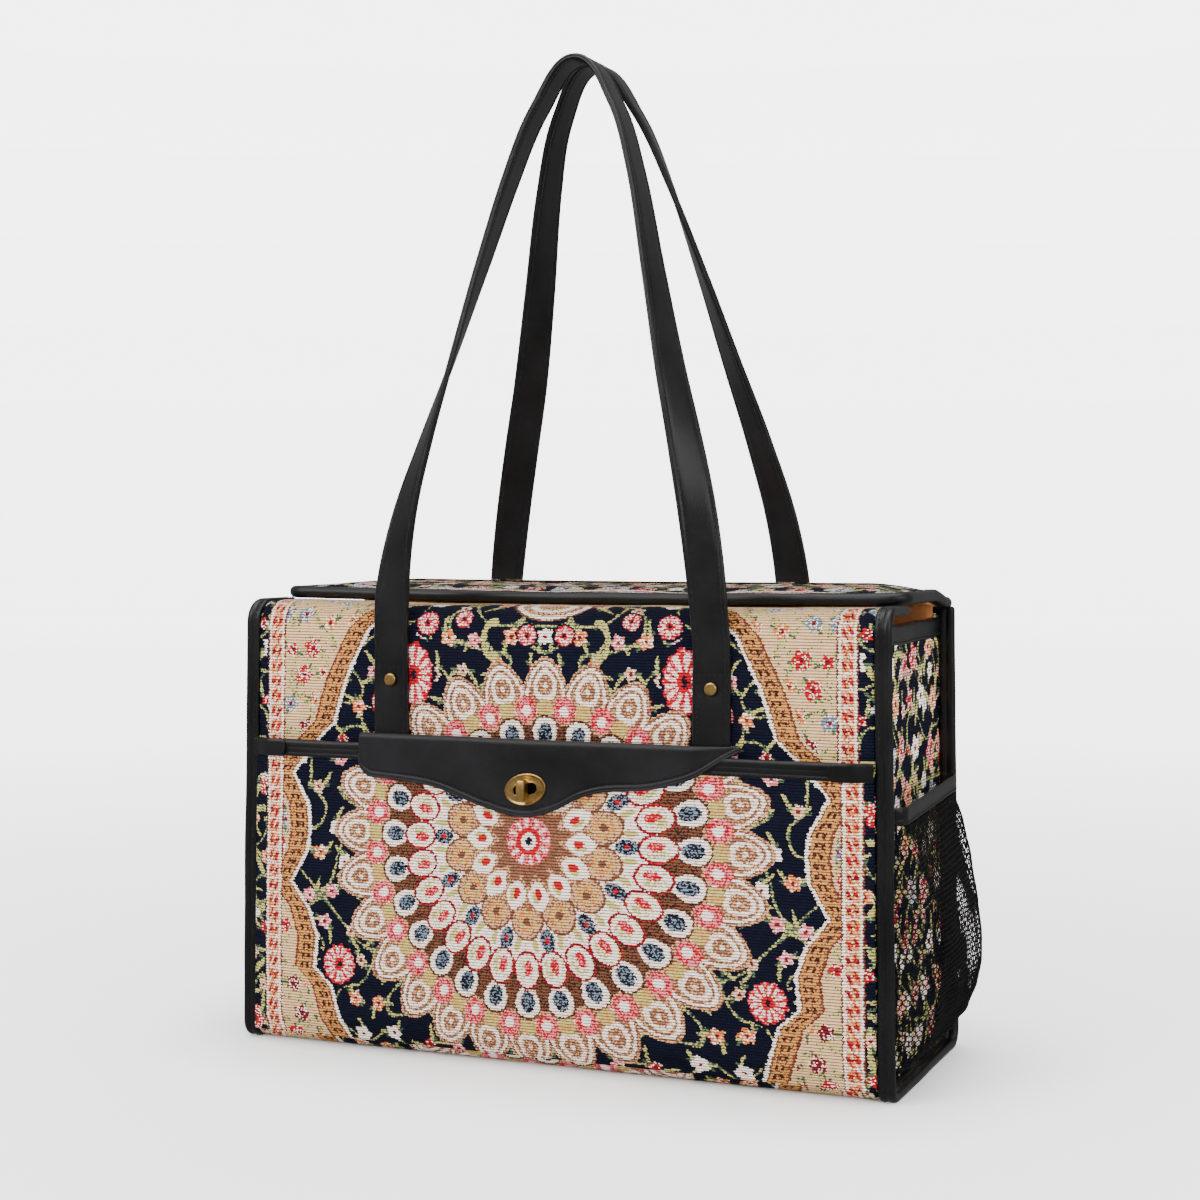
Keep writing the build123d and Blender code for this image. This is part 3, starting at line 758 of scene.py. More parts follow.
def turn_out(mesh: bmesh.types.BMesh, way: Vector) -> None:
    """Make an open sheet's faces look one way.

    Args:
        mesh: the sheet.
        way: the direction that its middle faces; straight up judges by its top only.
    """
    bmesh.ops.recalc_face_normals(mesh, faces=mesh.faces)
    faces = list(mesh.faces)
    if tuple(way) == UP:
        top = max(face.calc_center_median().z for face in faces)
        faces = [face for face in faces if face.calc_center_median().z > top - 2 * MM]
    if sum(face.normal.dot(way) for face in faces) < 0:
        bmesh.ops.reverse_faces(mesh, faces=mesh.faces)


def along_points(points: Sequence[Vector], pitch: float) -> Iterator[tuple[int, float]]:
    """Walk a line of points in equal steps.

    Args:
        points: the line.
        pitch: length of a step.

    Yields:
        The segment's number and the share of it.
    """
    due = pitch / 2
    for index, (here, there) in enumerate(zip(points, points[1:])):
        length = (there - here).length
        while due <= length:
            yield index, due / length
            due += pitch
        due -= length


def bead(rim: Sequence[Vector], corner: Spot, share: float) -> Vector:
    """Place a rolled edge round a line of points.

    Args:
        rim: the line.
        corner: corner of the edge's section.
        share: how far along the line.

    Returns:
        The corner's spot.
    """
    index = round(share * (len(rim) - 1))
    before, after = rim[max(index - 1, 0)], rim[min(index + 1, len(rim) - 1)]
    along = (after - before).normalized()
    out = Vector(FRONT)
    out = (out - along * out.dot(along)).normalized()
    return rim[index] + out * corner[0] + along.cross(out) * corner[1]


class Slot(Enum):
    """The record's material slots."""

    TAPESTRY = "tapestry"
    LINING = "lining"
    LEATHER = "leather"
    BRASS = "brass"
    NETTING = "netting"


@dataclass
class Workshop:
    """Finishes that the pieces share, and the way that a piece is finished."""

    finishes: dict[str, bpy.types.Material] = field(default_factory=dict)

    def __post_init__(self) -> None:
        """Make every finish once."""
        makers = {
            "carpet": lambda: Tapestry.make("carpet"),
            "hide": Leather("hide", linear(7, 7, 8), linear(20, 20, 22), 0.38).make,
            "flap_hide": Leather("flap_hide", linear(8, 8, 9), linear(24, 24, 27), 0.46).make,
            "strap_hide": Leather("strap_hide", linear(7, 7, 8), linear(22, 22, 24), 0.31).make,
            "thread": Cloth("thread", linear(40, 40, 42), linear(15, 15, 16), 0.4, 0.5).make,
            "cloth": Cloth("cloth", linear(172, 112, 70), linear(128, 78, 46)).make,
            "net": Cloth("net", linear(22, 22, 23), linear(9, 9, 10), 0.4, 0.6).make,
            "brass": Metal("brass", linear(222, 182, 112), linear(128, 94, 48), 0.27).make,
            # Darker copy of the brass for the lock's hidden plates: painted shade for what shows
            # down the slot.
            "slot_shade_brass": Metal("slot_shade_brass", linear(74, 54, 28), linear(30, 22, 12), 0.5).make,
        }
        self.finishes = {name: make() for name, make in makers.items()}

    def piece(self, name: str, mesh: bmesh.types.BMesh, finish: str, nodes: Sequence[str] = (),
              body: str = "bag_body", wall: float = 0.0, rounds: int = 1) -> bpy.types.Object:
        """Turn a mesh into a finished piece of the bag.

        Args:
            name: the piece's name.
            mesh: its mesh, which is freed.
            finish: the finish that it wears.
            nodes: frame nodes that it stands for.
            body: the body that it rides on; empty where it rides on none.
            wall: thickness in millimetres of a sheet, measured inwards.
            rounds: levels of subdivision.

        Returns:
            The piece.
        """
        data = bpy.data.meshes.new(name)
        for face in mesh.faces:
            face.smooth = True
        mesh.to_mesh(data)
        mesh.free()
        data.materials.append(self.finishes[finish])
        made = add(name, data)
        if wall:
            skin = made.modifiers.new("wall", "SOLIDIFY")
            skin.thickness = wall * MM
            skin.offset = -1.0
            skin.use_even_offset = True
        if rounds:
            soft = made.modifiers.new("soft", "SUBSURF")
            soft.levels = soft.render_levels = rounds
        if body:
            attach(made, body)
        if nodes:
            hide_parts(*nodes)
        log.info("%s: %d faces", name, len(data.polygons))
        return made

    def sheet(self, name: str, cells: tuple[int, int], place: Place, way: Sequence[float],
              finish: str, wall: float, nodes: Sequence[str] = (), pattern: Pattern | None = None,
              fill: float = 0.0, **fixed: object) -> bpy.types.Object:
        """Lay a sheet with a thickness.

        Args:
            name: the piece's name.
            cells: cells across and along.
            place: gives the outer face's spots.
            way: the direction that its middle faces; straight up judges by its top only.
            finish: the finish that it wears.
            wall: its thickness in millimetres.
            nodes: frame nodes that it stands for.
            pattern: gives the carpet's own coordinates.
            fill: how full a padded piece is; 0 where it isn't padded. Not used.
            fixed: the piece's other settings.

        Returns:
            The piece.
        """
        mesh = lay_grid(*cells, place, pattern)
        turn_out(mesh, Vector(way))
        made = self.piece(name, mesh, finish, nodes, wall=wall, **fixed)
        return made

    def stitch(self, name: str, runs: Sequence[Sequence[tuple[Vector, Vector]]],
               body: str = "bag_body", pitch: float = 3.2, length: float = 2.2,
               thick: float = 0.42) -> bpy.types.Object:
        """Sew rows of stitches.

        Args:
            name: the piece's name.
            runs: rows, each a line of spots and the directions out of the surface.
            body: the body that they ride on; empty where they ride on none.
            pitch: from one stitch to the next, in millimetres.
            length: length of a stitch.
            thick: half of its thickness.

        Returns:
            The piece.
        """
        mesh = bmesh.new()
        for run in runs:
            points = [spot for spot, _ in run]
            for index, share in along_points(points, pitch):
                step = (points[index + 1] - points[index]).normalized()
                out = run[index][1].lerp(run[index + 1][1], share)
                side = out.cross(step).normalized()
                out = step.cross(side).normalized()
                spot = points[index].lerp(points[index + 1], share)
                axes = Matrix((step * (length / 2), side * thick, out * thick)).transposed()
                lie = Matrix.Translation(spot * MM) @ (axes * MM).to_4x4()
                bmesh.ops.create_icosphere(mesh, subdivisions=1, radius=1.0, matrix=lie)
        bmesh.ops.recalc_face_normals(mesh, faces=mesh.faces)
        return self.piece(name, mesh, "thread", body=body, rounds=0)

    def dress(self, node: str, finish: str) -> None:
        """Give a frame node that keeps its shape a finish."""
        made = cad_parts[node]
        made.data.materials.clear()
        made.data.materials.append(self.finishes[finish])
        log.info("%s: dressed in %s", node, finish)


# ------------------------------------------------------------------ body
@dataclass(frozen=True)
class BodyShape:
    """Section of the bag's body and the way that its cloth settles."""

    half_depth: float = 82.5
    height: float = 297.0
    shoulder: float = 15.0
    foot: float = 12.0
    mouth: float = 32.0
    flare: float = 0.018

    @property
    def runs(self) -> tuple[Spot, ...]:
        """Length and radius of the section's runs, from the mouth to the back's top."""
        quarter = math.pi / 2
        foot = (quarter * self.foot, self.foot)
        return ((self.half_depth - self.shoulder - self.mouth, 0),
                (quarter * self.shoulder, self.shoulder),
                (self.height - self.shoulder - self.foot, 0), foot,
                (2 * (self.half_depth - self.foot), 0), foot, (self.height - self.foot, 0))

    @property
    def length(self) -> float:
        """Length of the whole section."""
        return sum(length for length, _ in self.runs)

    def spot(self, distance: float) -> tuple[Vector, Vector]:
        """Spot on the section's outside, and the direction out of it, both across the bag."""
        spot, out = trace(distance, (-self.mouth, self.height), 90, self.runs)
        return Vector((0, *spot)), Vector((0, *out))

    def settle(self, spot: Vector) -> Vector:
        """Let the body spread a little towards its foot."""
        low = 1 - spot.z / self.height
        return Vector((spot.x * (1 + self.flare * low), spot.y * (1 + self.flare * low), spot.z))

    def carpet_height(self, distance: float) -> float:
        """Height on the carpet, from the medallion's centre, of a spot of the section."""
        lengths = [length for length, _ in self.runs]
        middle = sum(lengths[:4]) + lengths[4] / 2
        return 228.1 - (distance if distance < middle else 2 * middle - distance)


@dataclass
class TapestryBody:
    """The tapestry walls, the lining and the stiff base."""

    shop: Workshop
    shape: BodyShape = field(default_factory=BodyShape)
    half_length: float = 213.0
    strap_x: float = 111.0
    end_x: float = 212.4
    end_half: float = 80.0
    end_high: float = 281.0
    lining_x: float = 209.0
    lining_in: float = 4.9          # from the body's outside to the lining

    def puff(self, x: float, spot: Vector, out: Vector) -> float:
        """How far the padded cloth stands out from the section.

        Args:
            x: place along the bag.
            spot: place on the section.
            out: outward direction there.

        Returns:
            Millimetres outwards.
        """
        end = 1 - (abs(x) / self.half_length) ** 6
        strap = mound(max(abs(abs(x) - self.strap_x) - 8, 0), 12) * smooth(spot.z, 190, 215)
        strap *= smooth(abs(spot.y), 70, 80)
        full = 2.2 * smooth(spot.z, 14, 60) * (1 - smooth(spot.z, 268, 300))
        wave = ripple(x, spot.y, spot.z, 55, 3.1) * 0.9 + ripple(x, spot.y, spot.z, 22, 8.2) * 0.35
        lift = (full + wave * smooth(spot.z, 4, 30)) * end * (1 - strap)
        fold = 0.7 * mound(abs(abs(x) - self.strap_x) - 20, 6) * smooth(spot.z, 215, 240)
        fold *= 1 - smooth(spot.z, 255, 285)
        lift += fold * end - 0.2 * strap
        crown = smooth(out.z, 0.5, 1.0)
        lift -= crown * (1.9 * (1 - (x / self.half_length) ** 2) + 0.1) * smooth(spot.z, 200, 290)
        return max(lift, -2.0) if spot.z > 3 else max(min(lift, 0.0), -0.5)

    def walls(self) -> None:
        """One length of padded tapestry: shoulder, front, base and back."""
        shape, total = self.shape, self.shape.length

        def place(across: float, along: float) -> Vector:
            """Spot of the outer face."""
            x = (across * 2 - 1) * self.half_length
            spot, out = shape.spot(along * total)
            spot = spot + out * self.puff(x, spot, out)
            return shape.settle(Vector((x, spot.y, max(spot.z, 0.05))))

        def pattern(across: float, along: float) -> Spot:
            """Place on the carpet."""
            x = (across * 2 - 1) * self.half_length
            return x + 1.0, shape.carpet_height(along * total)

        self.shop.sheet("tapestry_walls", (66, 124), place, UP, "carpet", 4.0,
                        ["tapestry_wrap"], pattern, fill=0.4)

    def ends(self) -> None:
        """End walls, slightly slack between their seams."""
        for side, name in SIDES:
            self.shop.sheet(name + "_end_cloth", (34, 58), self._end_place(side), (side, 0, 0),
                            "carpet", 2.6, [name + "_end_panel"], self._end_pattern, fill=0.3)

    def _end_place(self, side: int) -> Place:
        """Surface of one end wall."""
        shape = self.shape

        def place(across: float, along: float) -> Vector:
            """Spot of the end wall's outside."""
            z = 2.4 + along * self.end_high
            y = (across * 2 - 1) * self.end_half
            if z < 16:
                y *= 1 - 0.11 * (1 - smooth(z, -6, 15))
            slack = 1.8 * math.cos(y / self.end_half * math.pi / 2) * math.sin(along * math.pi)
            slack += 1.1 * ripple(0, y, z, 42, 5.5 + side) * math.cos(y / 82 * math.pi / 2)
            return shape.settle(Vector((side * (self.end_x - slack), y, z)))
        return place

    def _end_pattern(self, across: float, along: float) -> Spot:
        """Border of the carpet, on an end wall."""
        return 226 + across * 2 * self.end_half, along * self.end_high - 111

    def inside(self) -> None:
        """Lining cloth and the base board's cloth."""
        shape = self.shape
        total = shape.length

        def place(across: float, along: float) -> Vector:
            """Spot of the lining's outer face."""
            x = (across * 2 - 1) * self.lining_x
            spot, out = shape.spot(along * total)
            slack = abs(ripple(x, spot.y, spot.z, 38, 1.7)) * 1.8
            spot = spot - out * (self.lining_in + slack)
            return Vector((x, spot.y, spot.z - (0.6 if spot.z > 290 else 0)))

        self.shop.sheet("lining_wrap", (56, 110), place, UP, "cloth", 0.9, ["lining"], rounds=0)
        for side, name in SIDES:
            def end(across: float, along: float, side: int = side) -> Vector:
                """Spot of the lining at one end."""
                y, z = (across * 2 - 1) * 77.0, 6 + along * 278.0
                slack = abs(ripple(side * 9, y, z, 34, 4.4)) * 1.6
                return Vector((side * (self.lining_x + 0.2 - slack), y, z))
            self.shop.sheet("lining_end_" + name, (28, 48), end, (side, 0, 0), "cloth", 0.9,
                            rounds=0)
        self.shop.dress("base_board", "cloth")

    def build(self) -> None:
        """Make the whole body."""
        self.walls()
        self.ends()
        self.inside()


@dataclass
class EndTrim:
    """Leather folded over the sewn edges of the two ends."""

    shop: Workshop
    shape: BodyShape = field(default_factory=BodyShape)
    inner: float = 212.6
    band_x: float = 213.4
    band_z: float = 273.8
    band_half: float = 74.6

    def section(self) -> list[Spot]:
        """Section of a binding: a stitched flange, a groove and a rolled edge."""
        flange = [(0.0, -0.6), (0.1, 0.5), (0.9, 0.75), (3.6, 0.75), (4.3, 0.35), (4.8, 0.05),
                  (5.3, 0.5)]
        roll = [(7.35 + 3.05 * math.cos(angle), -2.1 + 3.15 * math.sin(angle))
                for angle in (math.radians(108 - 24 * step) for step in range(10))]
        back = [(5.3, -4.8), (4.8, -4.4), (4.2, -4.8), (3.4, -5.2), (0.9, -5.2), (0.1, -4.9),
                (0.0, -4.0)]
        return flange + roll + back

    def bindings(self) -> None:
        """A binding round each end: front, foot and back."""
        shape, total = self.shape, self.shape.length - 5
        for side, name in SIDES:
            def place(corner: Spot, along: float, side: int = side) -> Vector:
                """Spot of the binding."""
                spot, out = shape.spot(2 + along * total)
                sway = 0.45 * ripple(side * 40, spot.y, spot.z, 30, 9.1)
                spot = spot + out * (corner[1] + sway * (1 - smooth(-out.z, 0.2, 0.8)))
                x = self.inner + corner[0] + 0.5 * ripple(side * 90, spot.y, spot.z, 48, 2.2)
                settled = shape.settle(Vector((side * x, spot.y, spot.z)))
                settled.z = max(settled.z, 0.05)
                return settled

            mesh = lay_loop(self.section(), 200, place)
            self.shop.piece(name + "_binding", mesh, "hide", [name + "_end_binding"])
            runs = []
            for height in (0.75, -5.2):
                run = []
                for step in range(260):
                    spot = place((2.4, height), step / 259)
                    out = shape.spot(2 + step / 259 * total)[1] * (1 if height > 0 else -1)
                    run.append((spot + out * 0.12, out))
                runs.append(run)
            self.shop.stitch(name + "_binding_stitches", runs, pitch=3.4, length=2.3, thick=0.36)

    def top_bands(self) -> None:
        """Leather over the top edge of each end wall."""
        half = [(0.0, 0.0), (0.25, -0.9), (0.6, -1.0), (3.2, -1.0), (3.9, -0.55), (4.6, -0.95),
                (8.6, -1.0), (10.6, -0.9)]
        crest = [(11.9, -0.2), (12.6, 1.3), (12.7, 2.85), (12.6, 4.4), (11.9, 5.9)]
        other = [(height, 5.7 - depth) for height, depth in reversed(half)]
        section = half + crest + other
        for side, name in SIDES:
            def place(corner: Spot, along: float, side: int = side) -> Vector:
                """Spot of the band."""
                y = (along * 2 - 1) * self.band_half
                z = self.band_z + corner[0] + 0.7 * ripple(side, y, 0, 40, 6.3)
                z -= 1.2 * math.cos(y / 75 * math.pi / 2)
                x = self.band_x - corner[1] - 0.9 * math.cos(y / 75 * math.pi / 2)
                return Vector((side * x, y, z))

            mesh = lay_loop(section, 60, place)
            self.shop.piece(name + "_end_top", mesh, "hide", [name + "_top_band"])
            run = [(place((2.0, -1.15), step / 60), Vector((side, 0, 0))) for step in range(61)]
            self.shop.stitch(name + "_end_top_stitches", [run])

    def build(self) -> None:
        """Make all the trim of the ends."""
        self.bindings()
        self.top_bands()


# ------------------------------------------------------------------ front pocket
@dataclass
class FrontPocket:
    """The tapestry pocket on the front, its leather band and its end tabs."""

    shop: Workshop
    shape: BodyShape = field(default_factory=BodyShape)
    half_length: float = 212.9
    slope: float = 15.0
    wall_y: float = 83.0
    stand: float = 90.3
    top: float = 203.9
    low: float = 7.0
    seam: float = 195.0
    band_z: float = 193.8
    tab_x: float = 185.6
    tab_z: float = 199.3
    tab_wide: float = 27.0

    def front(self, x: float, z: float) -> float:
        """How far the pocket's outside stands in front of the middle of the bag."""
        side = smooth(self.half_length - abs(x), 0.0, self.slope)
        foot = smooth(z, self.low, self.low + self.slope)
        rise = min(side, foot)
        full = 4.2 * (1 - (abs(x) / self.half_length) ** 4) * math.sin(
            math.pi * min(max((z - 4) / 170, 0), 1)) ** 0.8
        wave = 0.8 * ripple(x, 0, z, 60, 4.7) + 0.3 * ripple(x, 0, z, 20, 1.2)
        calm = 1 - smooth(z, 140, 180)
        return self.wall_y + 1.7 * (1 - rise) + (self.stand - self.wall_y) * rise + (
            full + wave) * rise * calm

    def panel(self) -> None:
        """Padded tapestry panel."""
        def place(across: float, along: float) -> Vector:
            """Spot of the panel's outside."""
            x = (across * 2 - 1) * self.half_length
            z = self.low + along * (self.top - self.low)
            return self.shape.settle(Vector((x, -self.front(x, z), z)))

        def pattern(across: float, along: float) -> Spot:
            """Place on the carpet, drawn to the left in the middle by the pocket's fullness."""
            x = (across * 2 - 1) * self.half_length
            z = self.low + along * (self.top - self.low)
            pull = 11.8 * math.cos(min(abs(x) / 165, 1) * math.pi / 2) ** 2
            return x - 3.0 + pull, z - 147.0

        self.shop.sheet("pocket_cloth", (80, 46), place, FRONT, "carpet", 1.6,
                        ["front_pocket_panel"], pattern, fill=0.4)

    def band(self) -> None:
        """Leather folded over the pocket's top edge."""
        section = [(0.0, 0.0), (0.2, -0.75), (0.8, -0.9), (2.4, -0.9), (2.9, -0.5), (3.4, -0.85),
                   (5.8, -1.0), (6.2, -0.6), (6.7, -1.05), (8.6, -1.2), (10.2, -0.9),
                   (11.1, 0.2), (11.2, 1.4), (10.7, 2.6), (9.6, 3.0), (4.0, 2.8), (0.2, 2.7)]

        def place(corner: Spot, along: float) -> Vector:
            """Spot of the band."""
            x = (along * 2 - 1) * (self.half_length - 0.6)
            z = self.band_z + corner[0] + 0.35 * ripple(x, 0, 0, 70, 3.9)
            y = self.front(x, self.seam) + 0.2 - corner[1]
            y += 0.25 * ripple(x, 0, corner[0] * 4, 34, 2.8) - 0.25
            return self.shape.settle(Vector((x, -y, z)))

        mesh = lay_loop(section, 150, place)
        self.shop.piece("pocket_top_binding", mesh, "hide", ["pocket_band"])
        run = []
        for step in range(301):
            x = (step / 150 - 1) * (self.half_length - 1)
            y = self.front(x, self.seam) + 1.2 + 0.25 * ripple(x, 0, 6, 34, 2.8) - 0.25
            spot = self.shape.settle(Vector((x, -y, 195.4 + 0.35 * ripple(x, 0, 0, 70, 3.9))))
            run.append((spot, Vector(FRONT)))
        self.shop.stitch("pocket_top_stitches", [run])

    def tabs(self) -> None:
        """A leather patch sewn over each end of the band."""
        for side, name in SIDES:
            def rise(share: float, away: float) -> float:
                """Rounded inner end of the patch, as a share of its height."""
                return math.sqrt(max(1 - (max(3.5 - away, 0) / 3.5) ** 2, 0.02)) * share

            def place(across: float, along: float, side: int = side) -> Vector:
                """Spot of the patch's outside."""
                away = across * self.tab_wide
                x = self.tab_x + away
                z = self.tab_z + rise((along * 2 - 1) * 6.0, away)
                y = self.front(x, self.seam) + 2.3 - 0.35 * (abs(along * 2 - 1) > 0.8)
                groove = mound(away - 3.2, 0.7) * 0.35
                y += 0.5 * math.cos((along * 2 - 1) * math.pi / 2) ** 0.5 - groove
                return self.shape.settle(Vector((side * x, -y, z)))

            self.shop.sheet(name + "_band_tab", (40, 16), place, FRONT, "hide", 1.2,
                            ["pocket_tab_" + name])

    def build(self) -> None:
        """Make the whole pocket."""
        self.panel()
        self.band()
        self.tabs()


@dataclass
class PocketFlap:
    """Leather flap with a waved lower edge that dips under the lock."""

    shop: Workshop
    half: float = 131.0
    top: float = 212.0
    corner: float = 12.0
    lock_x: float = -10.5
    lock_z: float = 180.0
    tip: float = 163.0
    front: float = 93.95
    behind: float = 87.3            # back of the fold
    tucked: float = 0.14            # share of the rows that the fold takes
    crowd: float = 0.055            # how much closer the columns are at the two ends
    wave: tuple[Spot, ...] = ((-120.5, 20.5), (-108, 20.5), (-66, 16.5), (-30, 5.5), (-2, 0),
                              (20, 5.5), (37, 14), (54, 18.5), (82, 21), (104, 26.5),
                              (116, 31.5), (130, 40.5), (141.5, 46.5))

    def edge(self, x: float) -> float:
        """Height of the lower edge."""
        away = x - self.lock_x
        if x < -self.half + self.corner:
            dip = self.corner ** 2 - (x + self.half - self.corner) ** 2
            return self.tip + 20.5 + self.corner - math.sqrt(max(dip, 0))
        points = self.wave
        index = max(i for i in range(len(points) - 1) if away >= points[i][0] - 1e-6)
        slopes = []
        for knot in (index, index + 1):
            low, high = points[max(knot - 1, 0)], points[min(knot + 1, len(points) - 1)]
            slopes.append((high[1] - low[1]) / (high[0] - low[0]))
        (x0, z0), (x1, z1) = points[index], points[index + 1]
        span = x1 - x0
        share = (away - x0) / span
        curve = ((1 + 2 * share) * (1 - share) ** 2 * z0 + share * (1 - share) ** 2 * span
                 * slopes[0] + share ** 2 * (3 - 2 * share) * z1
                 + share ** 2 * (share - 1) * span * slopes[1])
        return self.tip + curve

    def face(self, x: float, z: float) -> float:
        """How far the flap's outside stands in front of the middle of the bag."""
        away = math.hypot(x - self.lock_x, z - self.lock_z)
        swell = 1.3 * mound(away, 46) - 1.3 * mound(away, 19)
        soft = 0.35 * ripple(x, 0, z, 48, 6.6) * smooth(away, 14, 30)
        back = 4.6 * smooth(x, 100, 131) * smooth(z, 188, 210)
        lift = 0.5 * smooth(self.top - z, 20, 45) * smooth(away, 16, 30)
        return self.front + swell + soft * 0.8 - back + lift

    def place(self, across: float, along: float) -> Vector:
        """Spot of the flap's outside, from behind its fold, over it and down to the edge."""
        x = (across * 2 - 1) * self.half
        fold = self.face(x, self.top - 3)
        radius = (fold - self.behind) / 2
        if along < self.tucked:
            share = along / self.tucked
            angle = math.pi * share
            low = 4.0 * (1 - smooth(share, 0.0, 0.25))
            return Vector((x, -(self.behind + radius - radius * math.cos(angle)),
                           self.top - radius + radius * math.sin(angle) * 0.95 - low))
        start = self.top - radius
        share = (along - self.tucked) / (1 - self.tucked)
        z = start + (self.edge(x) - start) * share
        blend = smooth(start - z, 0, 6)
        y = self.face(x, z) * blend + fold * (1 - blend)
        y -= 0.45 * mound((self.edge(x) - z) + 3.4, 0.7) - 0.3 * mound(self.edge(x) - z + 1.6, 1.2)
        return Vector((x, -y, z))

    def build(self) -> None:
        """Make the flap, its rolled edge and its stitches."""
        def even(across: float, along: float) -> Vector:
            """Closer columns towards the two ends, and closer rows at the edge."""
            down = max(along - self.tucked, 0) / (1 - self.tucked)
            row = min(along, self.tucked) + (1 - self.tucked) * (1 - (1 - down) ** 1.7)
            return self.place(across - self.crowd * math.sin(across * TURN), row)

        mesh = lay_grid(150, 50, even)
        hole = [face for face in mesh.faces if self.in_slot(face.calc_center_median() / MM)]
        bmesh.ops.delete(mesh, geom=hole, context="FACES")
        turn_out(mesh, Vector(FRONT))
        self.shop.piece("flap_leather", mesh, "flap_hide", ["pocket_flap"], wall=1.3)
        rim, sewn = [], []
        for step in range(241):
            share = step / 240
            share -= self.crowd * math.sin(share * TURN)
            spot = self.place(share, 1.0)
            rim.append(spot + Vector((0, 0.55, 0)))
            before = self.place(max(share - 0.004, 0), 1.0)
            after = self.place(min(share + 0.004, 1), 1.0)
            along = (after - before).normalized()
            up = Vector(FRONT).cross(along)
            up = up if up.z > 0 or share < 0.1 else -up
            if share < 0.06 and up.x < 0:
                up = -up
            inner = spot + up.normalized() * 3.6
            inner.y = -self.face(inner.x, inner.z) - 0.05
            sewn.append((inner, Vector(FRONT)))
        mesh = lay_loop(round_section(0.95, 10), 240,
                        lambda corner, share: bead(rim, corner, share))
        self.shop.piece("flap_rolled_edge", mesh, "flap_hide")
        self.shop.stitch("flap_stitches", [sewn[4:-6]], pitch=2.9, length=2.0, thick=0.34)

    def in_slot(self, spot: Vector) -> bool:
        """Whether a spot of the front lies in the lock's slot."""
        wide = abs(spot.x - self.lock_x) < 7.6 and abs(spot.z - self.lock_z) < 3.4
        return wide and spot.y < -91


@dataclass
class TurnLock:
    """Antique brass turn lock on the flap."""

    shop: Workshop
    x: float = -10.5
    z: float = 180.0
    tilt: float = 12.0
    long: float = 14.5
    short: float = 10.25
    back: float = 93.9
    knob_y: float = 99.35
    slot: tuple[float, float] = (8.0, 3.4)

    def plate(self) -> None:
        """Oval plate with a raised rim and a slot."""
        profile = [(0.0, 0.0), (0.0, 1.1), (0.03, 1.45), (0.14, 1.45), (0.2, 1.2), (0.6, 1.0),
                   (0.74, 1.05), (0.8, 1.5), (0.86, 1.75), (0.94, 1.6), (0.99, 1.1), (1.0, 0.6),
                   (1.0, 0.0)]
        tilt = math.radians(self.tilt)

        def place(corner: Spot, along: float) -> Vector:
            """Spot of the plate, between the slot's edge and the rim."""
            angle = along * TURN
            ray = Vector((math.cos(angle), math.sin(angle)))
            reach = 1 / math.sqrt((ray.x / self.long) ** 2 + (ray.y / self.short) ** 2)
            wide, high = self.slot
            slot = min(high / max(abs(ray.y), 1e-6), 1 / (abs(ray.x) / wide) if ray.x else 99)
            near = min(slot, 1 / math.sqrt((ray.x / wide) ** 2 + (ray.y / 3.9) ** 2) * 1.08)
            away = near + (reach - near) * corner[0]
            u, v = ray.x * away, ray.y * away
            x = u * math.cos(tilt) - v * math.sin(tilt)
            z = u * math.sin(tilt) + v * math.cos(tilt)
            return Vector((self.x + x, -self.back - corner[1], self.z + z))

        mesh = lay_loop(profile, 96, place, ring=True)
        self.shop.piece("lock_plate", mesh, "brass", ["flap_eyelet_plate"])

    def knob(self) -> None:
        """Turning bar with softened edges and a narrower neck."""
        mesh = bmesh.new()
        bmesh.ops.create_cube(mesh, size=1.0)
        bmesh.ops.scale(mesh, vec=Vector((5.8, 7.8, 13.2)) * MM, verts=mesh.verts)
        bmesh.ops.subdivide_edges(mesh, edges=mesh.edges, cuts=3, use_grid_fill=True)
        for vert in mesh.verts:
            height = vert.co.z / (6.6 * MM)
            depth = vert.co.y / (3.9 * MM)
            vert.co.x *= 1 - 0.2 * height ** 2
            vert.co.y *= 1 - 0.22 * height ** 4 if depth < 0 else 1.0
            if depth > 0.6:
                vert.co.x *= 0.9
                vert.co.z *= 0.82
        spot = Vector((self.x, -self.knob_y, self.z)) * MM
        bmesh.ops.translate(mesh, vec=spot, verts=mesh.verts)
        sharp = [edge for edge in mesh.edges if edge.calc_face_angle(0) > 0.9]
        bmesh.ops.bevel(mesh, geom=sharp, offset=0.7 * MM, affect="EDGES", segments=2,
                        profile=0.5, material=-1)
        self.shop.piece("lock_turning_bar", mesh, "brass", ["lock_knob"], "lock_knob", rounds=2)

    def build(self) -> None:
        """Make the lock and dress its hidden plates in a darker brass, painted shade for what shows
        down the slot.
        """
        self.plate()
        self.knob()
        for node in ("lock_base", "lock_back_plate", "flap_eyelet_washer"):
            self.shop.dress(node, "slot_shade_brass")


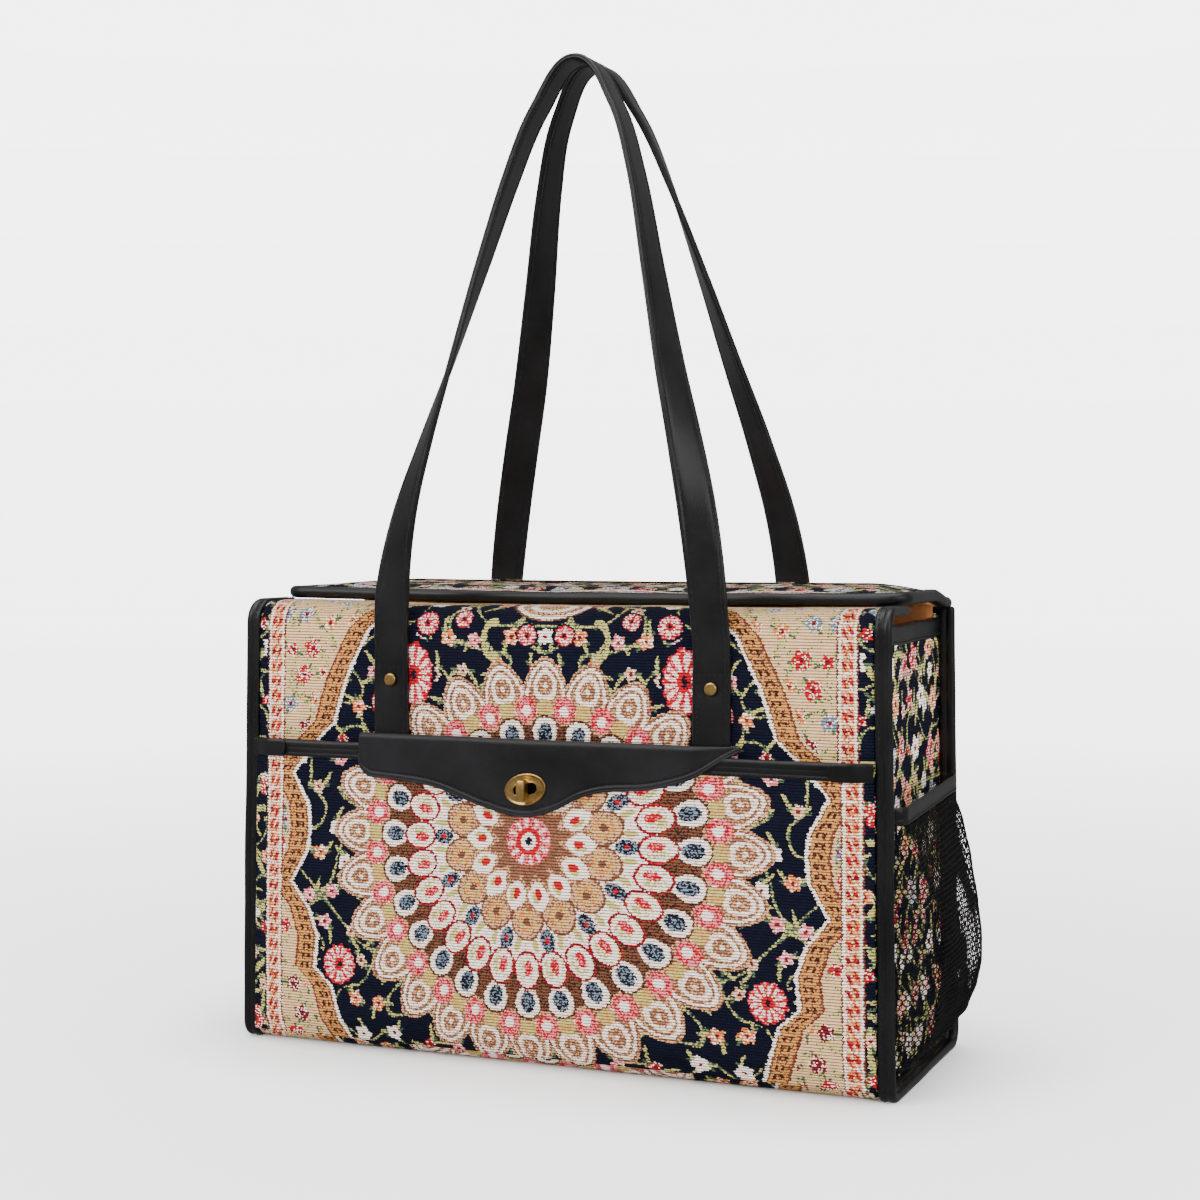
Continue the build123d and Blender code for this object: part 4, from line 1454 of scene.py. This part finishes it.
# ------------------------------------------------------------------ handles
@dataclass
class Handles:
    """Two long straps, each sewn and riveted to a face of the bag at both feet."""

    shop: Workshop
    spacing: float = 222.0
    width: float = 24.5
    hinge: float = 258.0
    rise: float = 396.65
    foot: float = 200.5
    middle: float = 84.8
    apex_y: float = 13.0
    apex_shift: float = -8.0
    rivet: float = 246.5
    crease: float = 256.4
    cross_seam: tuple[float, float] = (86.6, 255.2)
    seam: float = 9.1
    bend: tuple[float, float] = (256.0, 268.0)
    twists: tuple[float, float] = (2.2, 1.2)
    route: tuple[tuple[float, float, float], ...] = (
        (0.00, 1.000, 1.000), (0.12, 0.980, 1.030), (0.24, 0.915, 0.980),
        (0.36, 0.812, 0.860), (0.48, 0.695, 0.720), (0.64, 0.550, 0.490),
        (0.80, 0.402, 0.250), (0.92, 0.245, 0.080))

    def path(self) -> list[Vector]:
        """Smooth centre line of the front strap, foot to foot."""
        legs = []
        for side in (-1, 1):
            leg = [Vector((side * self.spacing / 2, -self.middle, self.foot))]
            for up, out, lean in self.route:
                x = side * out * self.spacing / 2 + self.apex_shift * up * up
                y = self.apex_y + lean * (self.middle - self.apex_y)
                leg.append(Vector((x, -y, self.hinge + 0.35 + up * self.rise)))
            legs.append(leg)
        top = Vector((self.apex_shift, -self.apex_y, self.hinge + 0.35 + self.rise))
        knots = legs[0] + [top] + legs[1][::-1]
        line: list[Vector] = []
        for index in range(len(knots) - 1):
            here, there = knots[index], knots[index + 1]
            before = knots[max(index - 1, 0)]
            after = knots[min(index + 2, len(knots) - 1)]
            reach = (there - here).length
            slope = (there - before) / max((there - before).length, 1e-6)
            leave = (after - here) / max((after - here).length, 1e-6)
            if index in (0, 1):
                slope = Vector((0, 0, 1))
            if index == 0:
                leave = Vector((0, 0, 1))
            if index == len(knots) - 2:
                slope = leave = Vector((0, 0, -1))
            if index == len(knots) - 3:
                leave = Vector((0, 0, -1))
            line += geometry.interpolate_bezier(here, here + slope * reach / 3,
                                                there - leave * reach / 3, there, 24)[:-1]
        line.append(knots[-1])
        return line

    def stations(self, twist: float, count: int) -> list[tuple[Vector, Vector, Vector]]:
        """Even stations along a front strap.

        Args:
            twist: how early its legs turn.
            count: cells along it.

        Returns:
            Spot, direction across and direction outwards of each station.
        """
        line = self.path()
        lengths = [0.0]
        for here, there in zip(line, line[1:]):
            lengths.append(lengths[-1] + (there - here).length)
        found = []
        index = 0
        for step in range(count + 1):
            share = step / count
            want = lengths[-1] * (share - 0.1 * math.sin(TURN * share))
            while index < len(line) - 2 and lengths[index + 1] < want:
                index += 1
            share = (want - lengths[index]) / (lengths[index + 1] - lengths[index])
            spot = line[index].lerp(line[index + 1], min(share, 1.0))
            along = (line[min(index + 2, len(line) - 1)] - line[max(index - 1, 0)]).normalized()
            up = (spot.z - self.hinge) / self.rise
            turn = min(max((up - 0.105) / 0.895, 0), 1)
            quarter = math.radians(90 * (1 - (1 - turn) ** twist))
            angle = quarter if step <= count / 2 else math.pi - quarter
            across = Vector((math.cos(angle), -math.sin(angle), 0))
            across = (across - along * across.dot(along)).normalized()
            found.append((spot, across, across.cross(along).normalized()))
        return found

    def section(self) -> list[Spot]:
        """Two plies with a rolled, grooved edge and a stitched channel near each side."""
        half = self.width / 2
        right = [(0.0, 2.0), (4.5, 2.0), (8.2, 1.95), (8.9, 1.5), (9.6, 1.95), (10.6, 2.15),
                 (11.6, 1.8), (half, 1.05), (half - 0.1, 0.3), (half - 0.45, 0.0)]
        upper = [(-a, b) for a, b in reversed(right[1:])] + right
        return upper + [(a, -b) for a, b in reversed(upper[1:-1])]

    def strap(self, front: int, twist: float, name: str, body: str) -> None:
        """One strap, with its stitches."""
        cells = 320
        stations = self.stations(twist, cells)

        def place(corner: Spot, along: float) -> Vector:
            """Spot of the strap's surface."""
            spot, across, out = stations[round(along * cells)]
            side, thick = corner
            foot = 1 - smooth(spot.z, self.hinge - 12, self.hinge + 4)
            wave = 0.3 * ripple(spot.x, spot.y, spot.z, 60, 2.0 + front)
            dent = 0.0
            if thick > 0:
                dent = 1.25 * mound(math.hypot(side, spot.z - self.rivet), 7.0)
                dent += 0.8 * mound(spot.z - self.crease, 1.4) * foot
            made = spot + across * side * (1 + 0.02 * foot) + out * (thick - dent + wave)
            return Vector((made.x, made.y * -front, made.z))

        mesh = lay_loop(self.section(), cells, place)
        nodes = [name + part for part in ("_handle", "_strap_anchor_left", "_strap_anchor_right")]
        made = self.shop.piece(name + "_strap", mesh, "strap_hide", nodes, "")
        runs = []
        for face in (1, -1):
            for side in (-self.seam, self.seam):
                run = []
                for step in range(cells + 1):
                    spot, _, out = stations[step]
                    if face < 0 and spot.z < self.hinge + 6:
                        continue
                    place_there = place((side, 1.62 * face), step / cells)
                    out = out * face
                    run.append((place_there, Vector((out.x, out.y * -front, out.z))))
                runs.append(run)
        y, z = self.cross_seam
        for end in (-1, 1):
            across_run = []
            for step in range(12):
                x = end * self.spacing / 2 + (step / 11 * 2 - 1) * 8.6
                across_run.append((Vector((x, front * y, z)), Vector((0, front, 0))))
            runs.append(across_run)
        sewn = self.shop.stitch(name + "_strap_stitches", runs, "")
        start, end = ((0, front * self.middle * MM, z * MM) for z in self.bend)
        for item in (made, sewn):
            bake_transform(item)
            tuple(start)
            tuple(end)

    def build(self) -> None:
        """Make both straps and dress the rivets."""
        self.strap(-1, self.twists[0], "front", "front_handle")
        self.strap(1, self.twists[1], "back", "back_handle")
        for name in ("front", "back"):
            for side in ("left", "right"):
                self.shop.dress(f"{name}_rivet_{side}", "brass")
                self.shop.dress(f"{name}_rivet_cap_{side}", "brass")


# ------------------------------------------------------------------ lid
@dataclass
class Lid:
    """Padded lid with a leather binding round its front and sides."""

    shop: Workshop
    half: float = 222.0
    front: float = -38.0
    back: float = 79.5
    corner: float = 14.0
    low: float = 297.4
    top: float = 305.8
    inset: float = 8.4              # from the rim to the padded cloth
    turn: float = 7.0               # corner of the padded cloth
    fold_half: float = 212.0

    def lie(self, x: float, y: float) -> float:
        """How far the lid's cloth rises or sinks from flat."""
        deep = (y - self.front) / (self.back - self.front)
        sag = -2.1 * (1 - (x / self.half) ** 2) * (1 - 0.7 * deep) - 0.2
        drop = -6.0 * smooth(y, 38, self.back) * smooth(abs(x), 170, self.half)
        return sag + drop + 0.35 * ripple(x, y, 0, 70, 5.1) + 0.5 * max(deep, 0)

    @property
    def runs(self) -> tuple[Spot, ...]:
        """Length and radius of the rim's runs, from the back left round to the back right."""
        side = (self.back - self.front - self.corner, 0)
        bend = (math.pi / 2 * self.corner, self.corner)
        return side, bend, (2 * (self.half - self.corner), 0), bend, side

    def rim(self, distance: float) -> tuple[Vector, Vector]:
        """Spot and outward direction of the lid's plan."""
        spot, out = trace(distance, (-self.half, self.back), 180, self.runs)
        return Vector((*spot, 0)), Vector((*out, 0))

    def binding(self) -> None:
        """Rolled leather edge with a stitched groove."""
        total = sum(length for length, _ in self.runs)
        section = [(-9.0, 7.1), (-8.8, 8.0), (-8.0, 8.3), (-5.6, 8.2), (-5.0, 7.7), (-4.4, 8.1)]
        section += [(-3.6 + 3.6 * math.cos(angle), 4.2 + 4.1 * math.sin(angle))
                    for angle in (math.radians(80 - 20 * step) for step in range(9))]
        section += [(-4.4, 0.3), (-5.0, 0.7), (-5.6, 0.2), (-8.0, 0.1), (-8.8, 0.4), (-9.0, 1.3)]

        def place(corner: Spot, along: float) -> Vector:
            """Spot of the binding."""
            spot, out = self.rim(along * total)
            spot = spot + out * corner[0]
            gather = 0.35 * ripple(spot.x, spot.y, 0, 9, 7.7) * smooth(spot.x, 40, 190)
            fold = 0.45 * ripple(spot.x, spot.y, 0, 34, 1.9)
            spot.z = self.low + corner[1] + self.lie(spot.x, spot.y)
            return spot + out * fold * 0.6 + Vector((0, 0, fold + (gather if corner[1] > 5 else 0)))

        mesh = lay_loop(section, 260, place)
        self.shop.piece("lid_edge", mesh, "hide", ["lid_binding"], "lid")
        runs = []
        for height, up in ((7.95, 1), (0.45, -1)):
            run = [(place((-5.0, height), step / 400), Vector((0, 0, up))) for step in range(401)]
            runs.append(run)
        self.shop.stitch("lid_edge_stitches", runs, "lid")

    def pads(self) -> None:
        """Padded top, and the lining under it."""
        half, front = self.half - self.inset, self.front + self.inset

        def plan(across: float, along: float) -> Spot:
            """Plan spot, with rounded front corners."""
            x, y = (across * 2 - 1) * half, front + along * (self.back - front)
            near = max(abs(x) - (half - self.turn), 0) / self.turn
            y = max(y, front + self.turn * (1 - math.sqrt(max(1 - near ** 2, 0))))
            return x, y

        def over(across: float, along: float) -> Vector:
            """Spot of the top."""
            x, y = plan(across, along)
            edge = min(half - abs(x), y - front)
            crown = 3.0 * smooth(edge, 0, 26) + 0.5 * ripple(x, y, 0, 30, 8.8) * smooth(edge, 0, 14)
            return Vector((x, y, self.top - 0.9 + self.lie(x, y) + crown))

        def pattern(across: float, along: float) -> Spot:
            """Place on the carpet."""
            x, y = plan(across, along)
            return x, 264.0 + (y - front)

        self.shop.sheet("lid_cloth", (84, 28), over, UP, "carpet", 3.4, ["lid_panel"], pattern,
                        fill=0.5, body="lid")

        def under(across: float, along: float) -> Vector:
            """Spot of the lining's underside."""
            x, y = plan(across, along)
            edge = min(half - abs(x), y - front)
            slack = 0.7 * ripple(x, y, 0, 36, 2.6) * smooth(edge, 0, 12)
            return Vector((x, y, self.low + 0.7 + self.lie(x, y) + slack))

        self.shop.sheet("lid_underside", (80, 26), under, (0, 0, -1), "cloth", 0.8,
                        ["lid_lining"], body="lid", rounds=0)

    def fold(self) -> None:
        """Tapestry that runs from the back wall over onto the lid."""
        line = [Vector((0, 83.0, 276)), Vector((0, 83.1, 296)), Vector((0, 83.2, 303.5)),
                Vector((0, 81.5, 307.2)), Vector((0, 76, 308.2)), Vector((0, 64, 308.9))]
        curve = []
        for index in range(len(line) - 1):
            before, here = line[max(index - 1, 0)], line[index]
            there, after = line[index + 1], line[min(index + 2, len(line) - 1)]
            curve += geometry.interpolate_bezier(here, here + (there - before) / 6,
                                                 there - (after - here) / 6, there, 6)[:-1]
        curve.append(line[-1])

        def place(across: float, along: float) -> Vector:
            """Spot of the fold's outside."""
            x = (across * 2 - 1) * self.fold_half
            spot = curve[round(along * (len(curve) - 1))]
            sink = self.lie(x, 79.0) * smooth(spot.z, 285, 306)
            wave = 0.25 * ripple(x, 0, spot.z, 26, 3.3)
            return Vector((x, spot.y + wave, spot.z + sink))

        def pattern(across: float, along: float) -> Spot:
            """Place on the carpet."""
            return (across * 2 - 1) * self.fold_half, 300 - along * 38.0

        made = self.shop.sheet("lid_fold", (60, len(curve) - 1), place, (0, 1, 1), "carpet", 1.2,
                               pattern=pattern, body="")
        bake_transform(made)

    def build(self) -> None:
        """Make the whole lid."""
        self.binding()
        self.pads()
        self.fold()


# ------------------------------------------------------------------ netting pocket
@dataclass
class NettingPocket:
    """Elastic netting on the right end, gathered under a leather band."""

    shop: Workshop
    shape: BodyShape = field(default_factory=BodyShape)
    start: float = 212.9
    half: float = 69.0
    foot: float = 14.0
    neck: float = 170.5
    cell: float = 2.35
    band_z: float = 169.4
    band_depth: float = 13.2
    span: tuple[float, float] = (186.0, 176.0)
    depths: tuple[Spot, ...] = ((14, 6), (20, 12), (32, 21.5), (50, 28), (66, 31), (85, 32),
                                (104, 30.5), (128, 26), (149, 20), (171, 12.5), (184, 12))

    def depth(self, z: float) -> float:
        """How far the netting stands out at a height."""
        for (low, first), (high, second) in zip(self.depths, self.depths[1:]):
            if z <= high:
                return first + (second - first) * smooth(z, low, high) * 0.5 + (
                    (second - first) * max((z - low) / (high - low), 0) * 0.5)
        return self.depths[-1][1]

    def plan(self, share: float, depth: float, half: float) -> tuple[Spot, Spot]:
        """Spot on the netting's plan and the direction out of it.

        Args:
            share: how far round, from the front of the end wall to its back.
            depth: how far the plan stands out.
            half: half of its width.

        Returns:
            Distance out and distance along Y, and the outward direction as the same pair.
        """
        bend = min(0.62 * depth, half * 0.6)
        side, turn = (depth - bend, 0.0), (math.pi / 2 * bend, bend)
        runs = (side, turn, (2 * (half - bend), 0.0), turn, side)
        return trace(share * sum(length for length, _ in runs), (0.0, -half), -90, runs)

    def slant(self, y: float) -> float:
        """How much higher the top edge is towards the back."""
        return 3.5 * y / self.half

    def surface(self, across: float, along: float, lift: float = 0.0) -> Vector:
        """Spot of the netting.

        Args:
            across: share round the plan.
            along: share of the height.
            lift: extra distance outwards.

        Returns:
            The spot in millimetres.
        """
        z = self.foot + along * (self.neck - self.foot)
        depth = self.depth(z)
        (out, y), ray = self.plan(across, depth, self.half - 1.5)
        gather = math.sin(across * 62) * 0.9 * mound(z - self.foot - 5, 6)
        soft = 2.6 * ripple(out, y, z, 38, 6.1) * smooth(z, self.foot, 40) * (
            1 - smooth(z, 140, self.neck)) + gather
        soft *= smooth(out, 0, 8)
        out, y = out + ray[0] * (soft + lift), y + ray[1] * (soft + lift) * 0.6
        z += self.slant(y) * smooth(z, 90, self.neck)
        return self.shape.settle(Vector((self.start + max(out, 0.2), y, z)))

    def netting(self) -> None:
        """Knitted hexagons as real cords."""
        wide, tall = self.span
        cell = self.cell
        columns, rows = round(wide / (cell * math.sqrt(3))), round(tall / (cell * 1.5))
        mesh = bmesh.new()
        for row in range(rows):
            for column in range(columns):
                x = (column + 0.5 * (row % 2) + 0.5) * cell * math.sqrt(3)
                lie = Matrix.Translation((x, row * cell * 1.5 + cell, 0))
                bmesh.ops.create_circle(mesh, cap_ends=True, segments=6, radius=cell, matrix=lie)
        bmesh.ops.remove_doubles(mesh, verts=mesh.verts, dist=cell * 0.02)
        span = (columns + 0.5) * cell * math.sqrt(3)
        high = (rows - 1) * cell * 1.5 + 2 * cell
        for vert in mesh.verts:
            vert.co = self.surface(vert.co.x / span, vert.co.y / high) * MM
        bmesh.ops.recalc_face_normals(mesh, faces=mesh.faces)
        bmesh.ops.wireframe(mesh, faces=mesh.faces, thickness=0.9 * MM, offset=0.5 * MM,
                            use_replace=True, use_boundary=True, use_even_offset=False,
                            use_crease=False, crease_weight=0.0, use_relative_offset=False,
                            material_offset=0)
        bmesh.ops.recalc_face_normals(mesh, faces=mesh.faces)
        self.shop.piece("netting_bag", mesh, "net", ["right_mesh_pocket"], rounds=0)
        hem = [self.surface(step / 179, 0.028, 0.8) for step in range(180)]
        mesh = lay_loop(round_section(1.1, 8), 178,
                        lambda corner, share: bead(hem, corner, share))
        self.shop.piece("netting_hem", mesh, "net", rounds=0)

    def band(self) -> None:
        """Leather band that grips the netting's top."""
        section = [(-0.9, 0.0), (-1.2, 1.0), (-1.25, 3.2), (-0.85, 3.9), (-1.2, 4.6), (-1.3, 8.6),
                   (-1.0, 10.4), (0.1, 11.2), (1.1, 10.4), (1.3, 8.0), (1.2, 1.0), (0.8, 0.0)]

        def grip(share: float) -> tuple[Spot, Spot]:
            """Spot and outward direction of the band's inner face in plan."""
            return self.plan(0.02 + share * 0.96, self.band_depth, self.half)

        def place(corner: Spot, along: float) -> Vector:
            """Spot of the band."""
            (out, y), ray = grip(along)
            out, y = out - ray[0] * corner[0], y - ray[1] * corner[0]
            z = self.band_z + corner[1] + self.slant(y) + 0.5 * ripple(out, y, 0, 26, 7.2)
            return self.shape.settle(Vector((self.start + max(out, 0.3), y, z)))

        mesh = lay_loop(section, 150, place)
        self.shop.piece("netting_band", mesh, "hide", ["mesh_pocket_band"])
        run = []
        for step in range(241):
            spot = place((-1.35, 2.0), step / 240)
            _, ray = grip(step / 240)
            run.append((spot, Vector((ray[0], ray[1], 0))))
        self.shop.stitch("netting_band_stitches", [run])

    def build(self) -> None:
        """Make the netting and its band."""
        self.netting()
        self.band()


# ------------------------------------------------------------------ studio
@dataclass
class Studio:
    """Camera, soft light and a pale floor that curves up behind the bag."""

    place: tuple[float, float, float] = (0.5445, -1.2969, 0.3429)
    yaw: float = 22.73
    pitch: float = 1.86
    lens: float = 63.0

    def camera(self) -> None:
        """Set the camera."""
        data = bpy.data.cameras.new("camera")
        data.lens = self.lens
        data.sensor_width = 36.0
        made = add("camera", data)
        made.location = self.place
        made.rotation_euler = (math.radians(90 - self.pitch), 0, math.radians(self.yaw))
        bpy.context.scene.camera = made

    def light(self, name: str, place: Sequence[float], size: float, power: float) -> None:
        """Hang a soft square light that faces the bag."""
        data = bpy.data.lights.new(name, "AREA")
        data.size = size
        data.energy = power
        made = add(name, data)
        made.location = place
        aim = Vector((0, 0, 0.25)) - Vector(place)
        made.rotation_euler = aim.to_track_quat("-Z", "Y").to_euler()

    def floor(self) -> None:
        """One sheet: floor, curve and backdrop, all round the bag; it glows, weaker near the bag,
        with a painted shadow round the bag's footprint.
        """
        mesh = bmesh.new()
        rim = bmesh.ops.create_circle(mesh, cap_ends=True, segments=96, radius=6.0)["verts"]
        edges = [edge for edge in mesh.edges if edge.verts[0] in rim]
        for angle in range(10, 91, 10):
            wall = bmesh.ops.extrude_edge_only(mesh, edges=edges)["geom"]
            edges = [item for item in wall if isinstance(item, bmesh.types.BMEdge)
                     and item.is_boundary]
            verts = {vert for edge in edges for vert in edge.verts}
            for vert in verts:
                flat = Vector((vert.co.x, vert.co.y)).normalized()
                out = 6.0 + 2.5 * math.sin(math.radians(angle))
                vert.co = (flat.x * out, flat.y * out, 2.5 * (1 - math.cos(math.radians(angle))))
            rim = list(verts)
        wall = bmesh.ops.extrude_edge_only(mesh, edges=edges)["geom"]
        for vert in (item for item in wall if isinstance(item, bmesh.types.BMVert)):
            vert.co.z += 3.0
        data = bpy.data.meshes.new("floor")
        mesh.to_mesh(data)
        mesh.free()
        made = add("floor", data)
        bench = Bench("studio_floor")
        flat = bench.node("VectorMath", {"operation": "LENGTH"}, {0: bench.place()})
        # Self-lit floor: its glow is weaker within 2.6 m of the bag, painted shade that darkens the
        # floor there.
        glow = bench.ease(bench.wire(flat, 1), 0.2, 2.6, 0.26)
        parts = bench.node("SeparateXYZ", None, {0: bench.place()})
        away = [(abs(bench.wire(parts, axis)) - half).apply("MAXIMUM", 0.0)
                for axis, half in ((0, 0.2), (1, 0.07))]
        near = (away[0] * away[0] + away[1] * away[1]).apply("SQRT")
        # Painted contact shadow: the glow fades to nothing within 130 mm of the bag's footprint.
        glow = glow * bench.ease(near, 0.0, 0.13, 0.0)
        glow = bench.mix(glow, (0, 0, 0, 1), linear(242, 242, 242))
        bench.feed(bench.shader.inputs["Emission Color"], glow)
        data.materials.append(bench.finish(linear(244, 243, 243), 0.8, Specular_IOR_Level=0.1,
                                           Emission_Strength=2.8))
        made.visible_glossy = False

    def build(self) -> None:
        """Set up everything but the bag."""
        self.camera()
        self.floor()
        self.light("key", (-1.3, -1.9, 1.9), 1.2, 34)
        self.light("side", (1.9, -0.9, 1.2), 1.1, 13)
        self.light("top", (0.0, -0.2, 2.6), 2.2, 62)
        world = bpy.data.worlds.new("studio")
        world.use_nodes = True
        sky = world.node_tree.nodes["Background"]
        sky.inputs["Color"].default_value = linear(240, 240, 240)
        sky.inputs["Strength"].default_value = 0.36
        bpy.context.scene.world = world


# ------------------------------------------------------------------ main
def main() -> None:
    """Build the bag on the frame."""
    logging.basicConfig(level=logging.INFO, format="%(name)s: %(message)s")
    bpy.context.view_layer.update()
    Studio().build()
    shop = Workshop()
    for part in (TapestryBody(shop), EndTrim(shop), FrontPocket(shop), PocketFlap(shop),
                 TurnLock(shop), Handles(shop), Lid(shop), NettingPocket(shop)):
        log.info("building %s", type(part).__name__)
        part.build()


if __name__ == "__main__":
    main()
